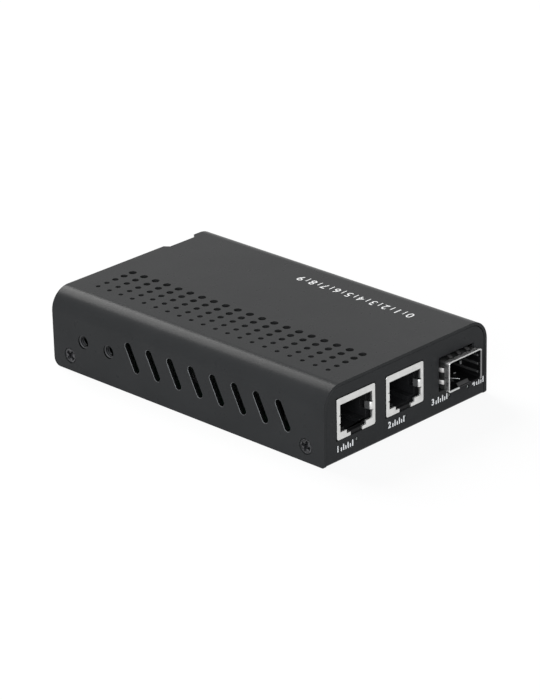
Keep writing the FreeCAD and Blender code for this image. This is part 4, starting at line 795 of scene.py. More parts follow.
def finishes(scene):
    """All materials by the record's slots, made once."""
    if "converter_finishes" in scene:
        names = scene["converter_finishes"]
        return {slot: bpy.data.materials[name] for slot, name in names.items()}
    values = scene.converter_finish
    tin, nickel, strip = tuple(values.tin), tuple(values.nickel), tuple(values.spring)
    made = {
        "black_coat": powder_coat(values),
        # Painted highlight on the slots' punched edges.
        "thin_coat": thin_coat(values),
        # Painted shade on the walls of the slots and tapped holes.
        "inner_coat": inner_coat(values, "inner_coat", tuple(values.inner_coat)),
        # Painted shade on the walls of the vents.
        "vent_coat": inner_coat(values, "vent_coat", tuple(values.vent_coat)),
        "thread_steel": plated_sheet("thread_steel", tuple(values.thread), 0.4),
        # Painted shade on the deeper part of the spring tabs.
        "dull_tin": plated_sheet("dull_tin", tuple(values.dull_tin), 0.5, metal=0.5),
        # Painted shade inside the cage, behind its rim and on its right side.
        "dark_nickel": plated_sheet("dull_nickel", tuple(values.dark_nickel), 0.5, (1, 0.3, 1)),
        # Painted highlight on the cage's rim and glint pieces.
        "bright_nickel": plated_sheet("bright_nickel", tuple(values.bright_nickel), 0.3, metal=0.7),
        # Painted shade on the collar's upper and lower fingers, band bottom and the tongue.
        "dull_spring": plated_sheet("dull_strip", tuple(values.dull_spring), 0.45, (1, 0.3, 1)),
        "shaded_nickel": plated_sheet("shaded_nickel", shade(nickel, 0.1), 0.5, metal=0.3),
        # Painted shade: half-bright tin on the window's turned-in lining.
        "turned_edge": plated_sheet("turned_edge", shade(tin, 0.5), 0.5, metal=0.3),
        "shaded_tin": plated_sheet("shaded_tin", shade(tin, 0.02), 0.6, metal=0.3),
        "black_zinc": black_zinc(tuple(values.screw)),
        "tinned_shield": plated_sheet("tinned_sheet", tin, 0.42),
        "nickel_cage": plated_sheet("nickel_sheet", nickel, 0.34, (1, 0.3, 1)),
        "spring_steel": plated_sheet("spring_strip", strip, 0.3, (1, 0.3, 1)),
        "gold_contact": plated_sheet("gold_plate", tuple(values.gold), 0.25, (8, 1, 8)),
        "nickel_pillar": plated_sheet("nickel_bar", (0.6, 0.59, 0.56), 0.35),
        # Near-black zinc: painted shade on these parts inside the housing.
        "bright_zinc": plated_sheet("zinc_plate", (0.03, 0.03, 0.032), 0.5),
        "can_nickel": plated_sheet("pressed_can", (0.68, 0.67, 0.64), 0.28),
        "can_aluminium": plated_sheet("drawn_aluminium", (0.74, 0.74, 0.76), 0.38, (1, 1, 0.2)),
        "pin_nickel": plated_sheet("nickel_pin", (0.66, 0.65, 0.62), 0.25),
        "spring_bronze": plated_sheet("tinned_bronze", (0.6, 0.5, 0.33), 0.33),
        "black_insert": moulded_black("port_moulding", tuple(values.moulding), 0.55, 0.12),
        "connector_black": moulded_black("connector_moulding", shade(values.moulding, 1.5)),
        # Own black deepened by painted shade inside the housing.
        "transformer_black": moulded_black("transformer_moulding", (0.004, 0.004, 0.004), 0.5, 0.1),
        "chip_black": moulded_black("chip_moulding", (0.02, 0.02, 0.021), 0.5),
        "socket_black": moulded_black("socket_moulding", (0.011, 0.011, 0.012), 0.3),
        "green_board": solder_resist(tuple(values.board)),
        "lamp_resin": clear_resin(),
        "ferrite": ground_ferrite(),
        "ink": white_ink(tuple(values.print_white)),
    }
    scene["converter_finishes"] = {slot: material.name for slot, material in made.items()}
    return made


def coats_for(scene, *slots):
    """The materials of these slots, in this order."""
    made = finishes(scene)
    return tuple(made[slot] for slot in slots)


# ------------------------------------------------------------------------------ operators

class CONVERTER_OT_coat_solids(bpy.types.Operator):
    """Gives every solid of the model the finish of its slot"""
    bl_idname = "converter.coat_solids"
    bl_label = "Coat the solids"

    def execute(self, context):
        made = finishes(context.scene)
        for part in frame["record"]["subparts"]:
            coat_node(part["node"], made[part["material_slot"]])
        return {"FINISHED"}


class CONVERTER_OT_folded_cover(bpy.types.Operator):
    """Top cover: one folded sheet with vents, slots, screw seats and tapped holes"""
    bl_idname = "converter.folded_cover"
    bl_label = "Folded cover"
    SHANK_GAP = 0.1 * MM  # gap round a cover screw's shank
    COLLAR_ROUND = 0.3 * MM  # rounding of the inner end of a tapped hole's collar

    def execute(self, context):
        sizes = context.scene.converter_cover
        fasteners = context.scene.converter_fastener
        coats = coats_for(context.scene, "black_coat", "thin_coat", "inner_coat", "vent_coat")
        sheet = self.fold(sizes)
        combine(sheet, "UNION", join("collars", self.collars(sizes, fasteners)))
        soften(sheet, sizes.edge, 50)
        put_on(sheet, coats)
        cutters = self.vents(sizes, coats) + self.slots(sizes, coats)
        cutters += self.seats(sizes, fasteners, coats) + self.tapped_holes(sizes, fasteners, coats)
        cut(sheet, join("punches", cutters))
        dress(sheet, coats, "black_coat", "top_cover")
        return {"FINISHED"}

    def fold(self, sizes):
        """The outer skin with its corners and long bends, thickened inwards, and the rear notch."""
        sheet = add_block("folded_cover", COVER_LOW, COVER_HIGH)
        with editing(sheet):
            select_faces(sheet, lambda at, out: out.z < -0.99 or abs(out.y) > 0.99)
            bpy.ops.mesh.delete(type="FACE")
        foot = COVER_LOW.z
        round_corners(sheet, lambda at: near(at.z, foot) and at.y < 0, sizes.front_corner)
        round_corners(sheet, lambda at: near(at.z, foot) and near(at.y, COVER_HIGH.y),
                      sizes.rear_corner)
        top = COVER_HIGH.z
        bevel(sheet, lambda at, way: near(at.z, top) and along(way, AXIS_Y), sizes.bend, 20)
        apply_modifier(sheet, "SOLIDIFY", thickness=sizes.sheet, offset=-1, use_even_offset=True)
        return cut(sheet, self.notch(sizes))

    def notch(self, sizes):
        """A block over the rear edge whose mouth is wider than its floor."""
        half = sizes.notch_floor / 2
        floor = COVER_HIGH.y - sizes.notch_depth
        left, right = sizes.notch_centre - half, sizes.notch_centre + half
        block = add_block("notch", (left, floor, COVER_HIGH.z - 2 * sizes.sheet),
                          (right, COVER_HIGH.y, COVER_HIGH.z + sizes.sheet))
        with editing(block):
            select_faces(block, lambda at, out: out.y > 0.99)
            widen = 1 + sizes.notch_flare / half
            bpy.ops.transform.resize(value=(widen, 1, 1))
            extrude((0, sizes.sheet, 0))
        return block

    def vents(self, sizes, coats):
        """One column of round punches, wider from row to row, repeated along the top."""
        column = []
        for row in range(sizes.vent_rows):
            place = (COVER_LOW.x + sizes.vent_side_inset + row * sizes.vent_row_pitch,
                     COVER_LOW.y + sizes.vent_front_inset, COVER_HIGH.z)
            radius = (sizes.vent_least + row * sizes.vent_growth) / 2
            vent = punch("vent", place, AXIS_Z, radius, sizes.mouth, 2 * sizes.sheet, coats)
            # The vent's walls take painted shade.
            column.append(finish_faces(vent, 3, lambda at, way: True))
        return repeat(join("vent_column", column), sizes.vent_columns,
                      AXIS_Y * sizes.vent_column_pitch)

    def slots(self, sizes, coats):
        """One slanted punch with round ends through both flanges, repeated along them."""
        run = math.hypot(sizes.slot_rise, sizes.slot_lean)
        half_width = sizes.slot_width / 2 - sizes.slot_mouth / 2
        half_height = run / 2 + half_width
        reach = COVER_HIGH.x - sizes.slot_mouth
        corner = Vector((reach, half_width, half_height))
        tool = add_block("slot", -corner, corner)
        bevel(tool, lambda at, way: along(way, AXIS_X), half_width * 0.999, 10)
        put_on(tool, coats)
        # The slot's walls take painted shade.
        finish_faces(tool, 2, lambda at, way: True)
        widen = (1, 1 + sizes.slot_mouth / half_width, 1 + sizes.slot_mouth / half_height)
        for out in (AXIS_X, -AXIS_X):
            open_mouth(tool, out, widen, sizes.slot_mouth)
        lean = Matrix.Rotation(-math.atan2(sizes.slot_lean, sizes.slot_rise), 4, "X")
        place = Vector((0, COVER_HIGH.y - sizes.slot_rear_inset, sizes.slot_height))
        first = copy_of(tool, "slot", place, lean)
        bpy.data.objects.remove(tool)
        return repeat(first, sizes.slot_count, AXIS_Y * -sizes.slot_pitch)

    def seats(self, sizes, fasteners, coats):
        """Countersunk seats of the four cover screws."""
        low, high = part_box("cover_screws")
        inset = fasteners.head / 2
        seats = []
        for side in (-1, 1):
            for y in (low.y + inset, high.y - inset):
                face = Vector((side * COVER_HIGH.x, y, (low.z + high.z) / 2))
                out = AXIS_X * side
                tool = add_rod("seat", face - out * 2 * sizes.sheet, face - out * sizes.sheet,
                               fasteners.shank / 2 + self.SHANK_GAP)
                grow = fasteners.seat / (fasteners.shank + 2 * self.SHANK_GAP)
                cone = sizes.sheet - fasteners.seat_wall
                with editing(tool):
                    select_faces(tool, lambda at, way: way.dot(out) > 0.99)
                    extrude(out * cone)
                    bpy.ops.transform.resize(value=across(out, grow))
                    extrude(out * sizes.sheet)
                put_on(tool, coats)
                seats.append(tool)
        return seats

    def collars(self, sizes, fasteners):
        """Solid collars behind the tapped holes, drawn inwards out of the flanges."""
        collars = []
        for place, out in bracket_places(fasteners):
            inner = place - out * (sizes.sheet + sizes.collar_depth)
            outer = place - out * sizes.sheet / 2
            collar = add_rod("collar", inner, outer, sizes.collar_diameter / 2)
            bevel(collar, lambda at, way: near((at - inner).dot(out), 0), self.COLLAR_ROUND, 3)
            collars.append(collar)
        return collars

    def tapped_holes(self, sizes, fasteners, coats):
        """Plain punches of the tapped holes, right through the collars."""
        reach = 2 * sizes.sheet + sizes.collar_depth
        radius = fasteners.bracket_hole / 2
        tools = []
        for place, out in bracket_places(fasteners):
            tool = add_rod("tapped", place - out * reach, place + out * sizes.sheet, radius, 40)
            put_on(tool, coats)
            # The tapped hole's walls take painted shade.
            tools.append(finish_faces(tool, 2, lambda at, way: True))
        return tools


class CONVERTER_OT_softened_solids(bpy.types.Operator):
    """Tray, port mouldings and power socket with softened edges"""
    bl_idname = "converter.softened_solids"
    bl_label = "Tray and mouldings"

    def execute(self, context):
        pieces = (
            ("chassis_tray", "folded_tray", "black_coat", SMALL_ROUND),
            ("ethernet_insert_left", "port_moulding_left", "black_insert", SMALL_ROUND),
            ("ethernet_insert_middle", "port_moulding_middle", "black_insert", SMALL_ROUND),
            ("power_socket_body", "socket_moulding", "socket_black", SOCKET_ROUND),
        )
        for node, name, finish, width in pieces:
            coats = coats_for(context.scene, finish)
            dress(softened_copy(node, name, width), coats, finish, node)
        return {"FINISHED"}


class CONVERTER_OT_jack_shields(bpy.types.Operator):
    """Folded tinned shields of the copper jacks, with stepped window and spring tabs"""
    bl_idname = "converter.jack_shields"
    bl_label = "Jack shields"
    SHADED_FROM = 2 * MM  # the face to where the shield lies in its own shade
    TAB_STUB = 0.45 * MM  # straight start of a spring tab inside the border
    TAB_BENDS = 6  # steps of a spring tab's bend
    TAB_RUNS = 3  # steps of its straight part

    def execute(self, context):
        sizes = context.scene.converter_jack
        coats = coats_for(context.scene, "tinned_shield", "dull_tin", "turned_edge", "shaded_tin")
        low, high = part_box("ethernet_shield_left")
        first = self.shield(sizes, coats, Vector((low.x, low.y, BOARD_TOP)), high, low.z)
        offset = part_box("ethernet_shield_middle")[0] - low
        second = copy_of(first, "jack_shield_middle", offset)
        first.name = "jack_shield_left"
        dress(first, coats, "tinned_shield", "ethernet_shield_left")
        dress(second, coats, "tinned_shield", "ethernet_shield_middle")
        return {"FINISHED"}

    def shield(self, sizes, coats, low, high, leg_end):
        """The folded shell with its turned-in window edge, spring tabs and board legs."""
        middle = (low.x + high.x) / 2
        shell = add_block("shield_shell", low, high)
        bevel(shell, lambda at, way: along(way, AXIS_Y), sizes.corner, 5)
        bevel(shell, lambda at, way: near(at.y, low.y) and not along(way, AXIS_Y), sizes.rim, 2)
        with editing(shell):
            select_faces(shell, lambda at, out: out.z < -0.99)
            bpy.ops.mesh.delete(type="FACE")
        apply_modifier(shell, "SOLIDIFY", thickness=sizes.sheet, offset=-1, use_even_offset=True)
        half = (high.x - low.x) / 2 - sizes.side_border
        inside = Vector((sizes.sheet, 0, sizes.sheet))
        lining = add_block("lining", low + inside + AXIS_Y * sizes.sheet,
                           high - inside - AXIS_Y * (high.y - low.y - sizes.sheet - sizes.lining))
        put_on(shell, coats)
        finish_faces(shell, 3, lambda at, out: at.y > low.y + self.SHADED_FROM)
        # The turned-in lining takes a half-bright copy of the tin: painted shade.
        put_on(lining, coats)
        finish_faces(lining, 2, lambda at, out: True)
        pieces = []
        for part in (shell, lining):
            self.cut_window(sizes, part, low, high, half)
            pieces.append(soften(part, SHEET_ROUND))
        for side in (-1, 1):
            pieces.append(self.tab(sizes, coats, middle, side, half, low))
            pieces.append(board_leg(sizes, low, high, side, low.y + sizes.leg_place, leg_end, 0.45))
        return join("jack_shield", pieces)

    def cut_window(self, sizes, part, low, high, half):
        """The stepped window, with a slit above and below each spring tab."""
        middle = (low.x + high.x) / 2
        before, behind = low.y - sizes.sheet, low.y + 4 * sizes.sheet
        sill, step = low.z + sizes.window_sill, low.z + sizes.step_sill
        slit = low.z + sizes.tab_sill - sizes.tab_slit
        openings = (
            (half, sill, high.z - sizes.top_border),
            (sizes.step_width / 2, step, sill + BEYOND),
            (sizes.gap_width / 2, low.z - BEYOND, step + BEYOND),
            (half + sizes.tab_root, slit, slit + sizes.tab_height + 2 * sizes.tab_slit),
        )
        for reach, bottom, top in openings:
            cut(part, add_block("window", (middle - reach, before, bottom),
                                (middle + reach, behind, top)))

    def tab(self, sizes, coats, middle, side, half, low):
        """A spring strip that leaves the window's edge, bends backwards and runs into the jack."""
        bottom = low.z + sizes.tab_sill
        outer = middle + side * (half + sizes.tab_root + sizes.sheet / 2)
        edge = outer - side * self.TAB_STUB
        strip = add_block("tab", (min(edge, outer), low.y + HAIR, bottom),
                          (max(edge, outer), low.y + sizes.sheet * 0.85, bottom + sizes.tab_height))
        bends, runs = self.TAB_BENDS, self.TAB_RUNS
        turn = (math.pi / 2 - sizes.tab_angle) / bends * -side
        steps = [(sizes.tab_turn / bends, turn)] * bends + [(sizes.tab_reach / runs, 0.0)] * runs
        bend_on(strip, (-side, 0, 0), steps, "Z")
        put_on(strip, coats)
        # The deeper part of the tab takes a dark copy of the tin: painted shade.
        depth = low.y + sizes.tab_turn * 0.75
        finish_faces(strip, 1, lambda at, out: at.y > depth)
        return soften(strip, STRIP_ROUND)


class CONVERTER_OT_jack_contacts(bpy.types.Operator):
    """Gold-plated spring wires of the copper jacks"""
    bl_idname = "converter.jack_contacts"
    bl_label = "Jack contacts"
    ROOT = 1.6 * MM  # straight run of a wire along the ceiling
    WIRE_ROUND = 0.06 * MM
    # Number, run and turn in degrees of the steps of the knee, the spring and the level tip.
    PATH = ((3, 0.22 * MM, -5), (6, 1.0 * MM, 0), (2, 0.4 * MM, 8))

    def execute(self, context):
        sizes = context.scene.converter_jack
        coats = coats_for(context.scene, "gold_contact")
        for jack in JACKS:
            node = f"ethernet_contacts_{jack}"
            low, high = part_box(node)
            first = self.wire(sizes, low.x + sizes.wire / 2, low.y, high.z - sizes.wire / 2)
            wires = repeat(first, sizes.contact_count, AXIS_X * sizes.contact_pitch)
            contacts = join(f"jack_contacts_{jack}", wires)
            dress(contacts, coats, "gold_contact", node, limit=40)
        return {"FINISHED"}

    def wire(self, sizes, x, y, z):
        """Root along the ceiling, a rounded knee, the spring that slopes down, and a level tip."""
        wire = add_rod("wire", (x, y, z), (x, y + self.ROOT, z), sizes.wire / 2, 12)
        steps = []
        for number, run, turn in self.PATH:
            steps += [(run, math.radians(turn))] * number
        bend_on(wire, (0, 1, 0), steps, "X")
        return soften(wire, self.WIRE_ROUND, 50)


def cage_tube_box(sizes):
    """The cage's tube without its rim, legs and tongue; it starts at the rim's front plane."""
    low = Vector((CAGE_LOW.x + sizes.lip, COLLAR_LOW.y - sizes.flare, BOARD_TOP + sizes.stand))
    high = Vector((CAGE_HIGH.x - sizes.lip, CAGE_HIGH.y, CAGE_HIGH.z - sizes.lip))
    return low, high


class CONVERTER_OT_module_cage(bpy.types.Operator):
    """Nickel-plated cage for the fibre module, with flared rim, ribs, legs and guide tongue"""
    bl_idname = "converter.module_cage"
    bl_label = "Module cage"
    # Share of the flare's depth and of the lip's width, for each step of the rim.
    FLARE_PATH = ((0.5, 0.25), (0.3, 0.4), (0.2, 0.35))
    REAR_SEAM = 0.4 * MM  # inset of the seam on the closed rear
    TONGUE_GAP = 0.15 * MM  # gap beside the guide tongue
    TONGUE_ROOT = 1.4 * MM  # end of the gap in the rim to the tongue's root
    TONGUE_START = 0.3 * MM  # flat start of the guide tongue
    # Run in millimetres and lift as a share of the rise, for each step towards the rim.
    TONGUE_PATH = ((-1.2, 1.0), (-0.2, 0.0), (-0.25, -0.35), (-0.25, -0.45), (-0.2, -0.45))
    LATCH_POINT = 0.1  # width of the latch hole's point as a share of its wide edge
    LATCH_EDGE = 0.1 * MM  # radius of the thin rod that paints a highlight along the edge of the latch hole
    STOP_DEPTH = 7.2 * MM  # rim to the two small pieces that carry painted glints
    WALL_STOP = ((0.6, 2.2), (0.7, 0.5, 1.1))  # millimetres off wall and floor, extent
    FLOOR_STOP = (10.6, (0.9, 0.5, 0.35))  # millimetres off the left wall, extent
    RIB_HEIGHTS = (0.2, 0.48, 0.78)  # as shares of the cage's height
    RIB_ROUND = 0.08 * MM

    def execute(self, context):
        sizes = context.scene.converter_cage
        coats = coats_for(context.scene, "nickel_cage", "dark_nickel", "bright_nickel",
                          "dull_spring", "shaded_nickel")
        low, high = cage_tube_box(sizes)
        middle = (low.x + high.x) / 2
        tube = self.tube(sizes, coats, low, high)
        self.openings(sizes, tube, low, high, middle)
        self.finish_rim(sizes, tube, low, high, middle)
        pieces = [soften(tube, SHEET_ROUND)]
        # Legs stay plain nickel; the latch edge and the small pieces take painted highlights; the
        # tongue and the ribs take painted shade.
        groups = ((0, self.legs(sizes, low, high)), (2, self.latch(sizes, low, high, middle)),
                  (3, [self.tongue(sizes, low, middle)]), (4, self.ribs(sizes, low, high)))
        for index, group in groups:
            for part in group:
                put_on(part, coats)
                finish_faces(part, index, lambda at, out: True)
                pieces.append(part)
        cage = join("fibre_module_cage", pieces)
        dress(cage, coats, "nickel_cage", "module_cage")
        return {"FINISHED"}

    def finish_rim(self, sizes, tube, low, high, middle):
        """Painted shade on the outside of the rim, a painted highlight on its front, and painted
        shade on the right side with a plain face.
        """
        tip = low.y + 0.6 * sizes.flare

        def right_side(at):
            return at.x > high.x - 2 * sizes.sheet and at.z < high.z - sizes.sheet

        finish_faces(tube, 1, lambda at, out: out.y > 0.2 and at.y < low.y + sizes.flare)
        finish_faces(tube, 2, lambda at, out: out.y < -0.3 and at.y < tip
                     and (at.x < middle or at.z > low.z + sizes.sheet))
        finish_faces(tube, 1, lambda at, out: out.y < -0.3 and right_side(at))
        finish_faces(tube, 0, lambda at, out: out.y < -0.7 and at.y < tip and right_side(at))

    def tube(self, sizes, coats, low, high):
        """Outer skin with rounded corners, its rim turned out, then thickened inwards."""
        tube = add_block("cage_tube", low + AXIS_Y * sizes.flare, high)
        bevel(tube, lambda at, way: along(way, AXIS_Y), sizes.corner, 5)
        front = low.y + sizes.flare
        centre = (low + high) / 2
        with editing(tube):
            select_faces(tube, lambda at, out: out.y < -0.99)
            bpy.ops.mesh.delete(type="ONLY_FACE")
            select_edges(tube, lambda at, way: near(at.y, front) and not along(way, AXIS_Y))
            width, height = high.x - low.x, high.z - low.z
            for depth, lip in self.FLARE_PATH:
                bpy.ops.mesh.extrude_edges_move(
                    TRANSFORM_OT_translate={"value": (0, -depth * sizes.flare, 0)})
                grow_x = (width + 2 * lip * sizes.lip) / width
                grow_z = (height + 2 * lip * sizes.lip) / height
                bpy.ops.transform.resize(value=(grow_x, 1, grow_z), center_override=centre)
                width, height = width * grow_x, height * grow_z
            select_faces(tube, lambda at, out: out.y > 0.99)
            bpy.ops.mesh.inset(thickness=self.REAR_SEAM)
        put_on(tube, coats)
        # The inner faces take the second material, a near-black copy of the nickel: painted shade
        # inside the cage.
        apply_modifier(tube, "SOLIDIFY", thickness=sizes.sheet, offset=-1, use_even_offset=True,
                       material_offset=1)
        return tube

    def openings(self, sizes, tube, low, high, middle):
        """The gap in the lower rim for the tongue, the latch hole and the tail's open floor."""
        half = sizes.tongue_width / 2 + self.TONGUE_GAP
        cut(tube, add_block("rim_gap", (middle - half, low.y - BEYOND, low.z - BEYOND),
                            (middle + half, low.y + sizes.tongue_setback,
                             low.z + sizes.sheet * 1.5)))
        half = sizes.latch_width / 2
        latch = add_block("latch_hole", (middle - half, low.y + sizes.latch_start, low.z - BEYOND),
                          (middle + half, low.y + sizes.latch_end, low.z + BEYOND))
        cut(tube, resize_end(latch, AXIS_Y, (self.LATCH_POINT, 1, 1)))
        inside = 2 * sizes.sheet
        cut(tube, add_block("tail_floor", (low.x + inside, high.y - sizes.tail, low.z - BEYOND),
                            (high.x - inside, high.y - inside, low.z + inside)))

    def tongue(self, sizes, low, middle):
        """The strip in the middle of the floor: it rises into the cage, then dips to the rim."""
        half = sizes.tongue_width / 2
        root = low.y + sizes.tongue_setback + self.TONGUE_ROOT
        strip = add_block("tongue", (middle - half, root, low.z + HAIR),
                          (middle + half, root + self.TONGUE_START, low.z + sizes.sheet))
        with editing(strip):
            select_faces(strip, lambda at, out: out.y < -0.99)
            for run, lift in self.TONGUE_PATH:
                extrude(Vector((0, run * MM, lift * sizes.tongue_rise)))
        return soften(strip, STRIP_ROUND)

    def latch(self, sizes, low, high, middle):
        """A thin bright rod along an edge of the latch hole and two small bright pieces further in:
        painted highlights.
        """
        top = low.z + sizes.sheet
        half = sizes.latch_width / 2
        start = Vector((middle + half, low.y + sizes.latch_start, top))
        end = Vector((middle + half * self.LATCH_POINT, low.y + sizes.latch_end, top))
        edge = add_rod("latch_edge", start, end, self.LATCH_EDGE, 8)
        depth = low.y + self.STOP_DEPTH
        (inset, lift), wall_extent = self.WALL_STOP
        offset, floor_extent = self.FLOOR_STOP
        glint_places = (
            (Vector((high.x - sizes.sheet - inset * MM, depth, top + lift * MM)), wall_extent),
            (Vector((low.x + offset * MM, depth, top)), floor_extent),
        )
        glint_pieces = []
        for place, extent in glint_places:
            spot = add_block("spot", place, place + Vector(extent) * MM)
            glint_pieces.append(soften(spot, SMALL_ROUND))
        return [edge] + glint_pieces

    def ribs(self, sizes, low, high):
        """Long pressed ribs on the inside of both walls."""
        ribs = []
        start = low.y + sizes.rib_start
        half = sizes.rib_width / 2
        for side in (-1, 1):
            wall = (low.x if side < 0 else high.x) - side * sizes.sheet * 0.8
            for height in self.RIB_HEIGHTS:
                z = low.z + (high.z - low.z) * height
                inner = wall - side * sizes.rib_depth
                rib = add_block("rib", (min(wall, inner), start, z - half),
                                (max(wall, inner), start + sizes.rib_length, z + half))
                resize_end(rib, AXIS_X * -side, (1, 0.95, 0.45))
                ribs.append(soften(rib, self.RIB_ROUND))
        return ribs

    def legs(self, sizes, low, high):
        """Two rows of board legs, one leg in each wall."""
        legs = []
        for row in (0, 1):
            for side in (-1, 1):
                front = low.y + sizes.leg_place + row * sizes.leg_pitch
                legs.append(board_leg(sizes, low, high, side, front, CAGE_LOW.z, 0.4))
        return legs


class CONVERTER_OT_spring_collar(bpy.types.Operator):
    """Bright strip round the cage's mouth, with bowed fingers against the panel"""
    bl_idname = "converter.spring_collar"
    bl_label = "Spring collar"
    SEAT = 0.03 * MM  # gap between the cage and the band
    ROOT = 0.5 * MM  # how far a finger overlaps the band
    CREST_DEPTH = 0.5 * MM  # panel's face to a finger's crest
    STATIONS = 7  # steps from a finger's root to its crest
    SIDE_FINGERS = 2
    TOP_FINGERS = 3

    def execute(self, context):
        sizes = context.scene.converter_cage
        coats = coats_for(context.scene, "spring_steel", "dull_spring")
        low, high = cage_tube_box(sizes)
        grow = Vector((self.SEAT, 0, self.SEAT))
        band_low = Vector((low.x, COLLAR_LOW.y, low.z)) - grow
        band_high = Vector((high.x, COLLAR_LOW.y + sizes.band, high.z)) + grow
        pieces = [self.band(sizes, coats, band_low, band_high, low.z + self.SEAT)]
        middle = (band_low + band_high) / 2
        half_width = (band_high.x - band_low.x) / 2
        half_height = (band_high.z - band_low.z) / 2
        side_bow = COLLAR_HIGH.x - middle.x - half_width
        sides = (
            (90, half_width, self.SIDE_FINGERS, side_bow),
            (-90, half_width, self.SIDE_FINGERS, side_bow),
            (0, half_height, self.TOP_FINGERS, COLLAR_HIGH.z - middle.z - half_height),
            (180, half_height, self.TOP_FINGERS, middle.z - half_height - COLLAR_LOW.z),
        )
        centre = Vector((middle.x, 0, middle.z))
        for turn, reach, fingers, bow in sides:
            finger = self.finger(sizes, reach, bow - sizes.strip)
            put_on(finger, coats)
            # Upper and lower fingers take the dark copy of the strip: painted shade.
            if turn in (0, 180):
                finish_faces(finger, 1, lambda at, out: True)
            turning = Matrix.Rotation(math.radians(-turn), 4, "Y")
            for number in range(fingers):
                shift = (number - (fingers - 1) / 2) * sizes.finger_pitch
                place = Matrix.Translation(Vector((shift, 0, 0)))
                pieces.append(copy_of(finger, "finger", centre, turning @ place))
            bpy.data.objects.remove(finger)
        collar = join("spring_collar", pieces)
        dress(collar, coats, "spring_steel", "cage_spring_collar", limit=40)
        return {"FINISHED"}

    def band(self, sizes, coats, low, high, floor):
        """The closed strip round the cage, with painted shade below the floor's height."""
        band = add_block("band", low, high)
        bevel(band, lambda at, way: along(way, AXIS_Y), sizes.corner, 5)
        with editing(band):
            select_faces(band, lambda at, out: abs(out.y) > 0.99)
            bpy.ops.mesh.delete(type="ONLY_FACE")
        apply_modifier(band, "SOLIDIFY", thickness=sizes.strip, offset=1, use_even_offset=True)
        put_on(band, coats)
        # Painted shade on the band below the floor's height.
        finish_faces(band, 1, lambda at, out: at.z < floor)
        return soften(band, SHEET_ROUND)

    def finger(self, sizes, reach, bow):
        """One strip above the origin: it rises to its crest at the panel and sinks again."""
        start = COLLAR_LOW.y + sizes.band
        rise = PANEL_FACE + self.CREST_DEPTH - start
        half = sizes.finger_width / 2
        strip = add_block("finger", (-half, start - self.ROOT, reach),
                          (half, start, reach + sizes.strip))
        place, height = start, 0.0
        with editing(strip):
            select_faces(strip, lambda at, out: out.y > 0.99)
            for number in range(1, 2 * self.STATIONS + 1):
                part = number / self.STATIONS
                y = start + rise * part
                lift = bow * math.sin(math.pi / 2 * min(part, 2 - part))
                extrude((0, y - place, lift - height))
                place, height = y, lift
        return soften(strip, SHEET_ROUND, 50)


class CONVERTER_OT_cover_screws(bpy.types.Operator):
    """Countersunk cover screws with a cross recess"""
    bl_idname = "converter.cover_screws"
    bl_label = "Cover screws"
    SHANK = 2.5 * MM  # length of the shank behind the head's cone
    TIP = 0.3 * MM  # length of the tapered tip
    HEAD_ROUND = 0.14 * MM
    LEAD = 0.5 * MM  # how far the recess's cutter stands out of the head
    FRONT_SPIN = 18  # turn of the front screws' recesses, in degrees
    REAR_SPIN = 40

    def execute(self, context):
        sizes = context.scene.converter_fastener
        low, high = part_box("cover_screws")
        z = (low.z + high.z) / 2
        half = sizes.head / 2
        first = self.screw(sizes, high.x)
        screws = []
        for side in (-1, 1):
            turning = Matrix.Rotation(0 if side > 0 else math.pi, 4, "Z")
            for y, angle in ((low.y + half, self.FRONT_SPIN), (high.y - half, self.REAR_SPIN)):
                spin = Matrix.Rotation(math.radians(angle) * side, 4, "X")
                screws.append(copy_of(first, "screw", Vector((0, y, z)), turning @ spin))
        bpy.data.objects.remove(first)
        screws = join("countersunk_screws", screws)
        dress(screws, coats_for(context.scene, "black_zinc"), "black_zinc", "cover_screws")
        return {"FINISHED"}

    def screw(self, sizes, face):
        """A screw along the X axis whose head lies at face and whose tip points to the middle."""
        depth = (sizes.head - sizes.shank) / 2
        head = add_rod("screw", (face - depth, 0, 0), (face, 0, 0), sizes.head / 2, 48)
        shrink = sizes.shank / sizes.head
        with editing(head):
            select_faces(head, lambda at, out: out.x < -0.99)
            bpy.ops.transform.resize(value=(1, shrink, shrink))
            extrude((-self.SHANK, 0, 0))
            extrude((-self.TIP, 0, 0))
            bpy.ops.transform.resize(value=(1, 0.8, 0.8))
        bevel(head, lambda at, way: near(at.x, face), self.HEAD_ROUND, 3)
        cut(head, self.recess(sizes, face))
        return head

    def recess(self, sizes, face):
        """Two crossed wedges, joined to one cutter."""
        wings = []
        span, width = sizes.recess_span, sizes.recess_width
        for wide, tall in ((span, width), (width, span)):
            wing = add_block("wing", (face - sizes.recess_depth, -wide / 2, -tall / 2),
                             (face + self.LEAD, wide / 2, tall / 2))
            wings.append(resize_end(wing, -AXIS_X, (1, 0.7, 0.7)))
        return combine(wings[0], "UNION", wings[1])


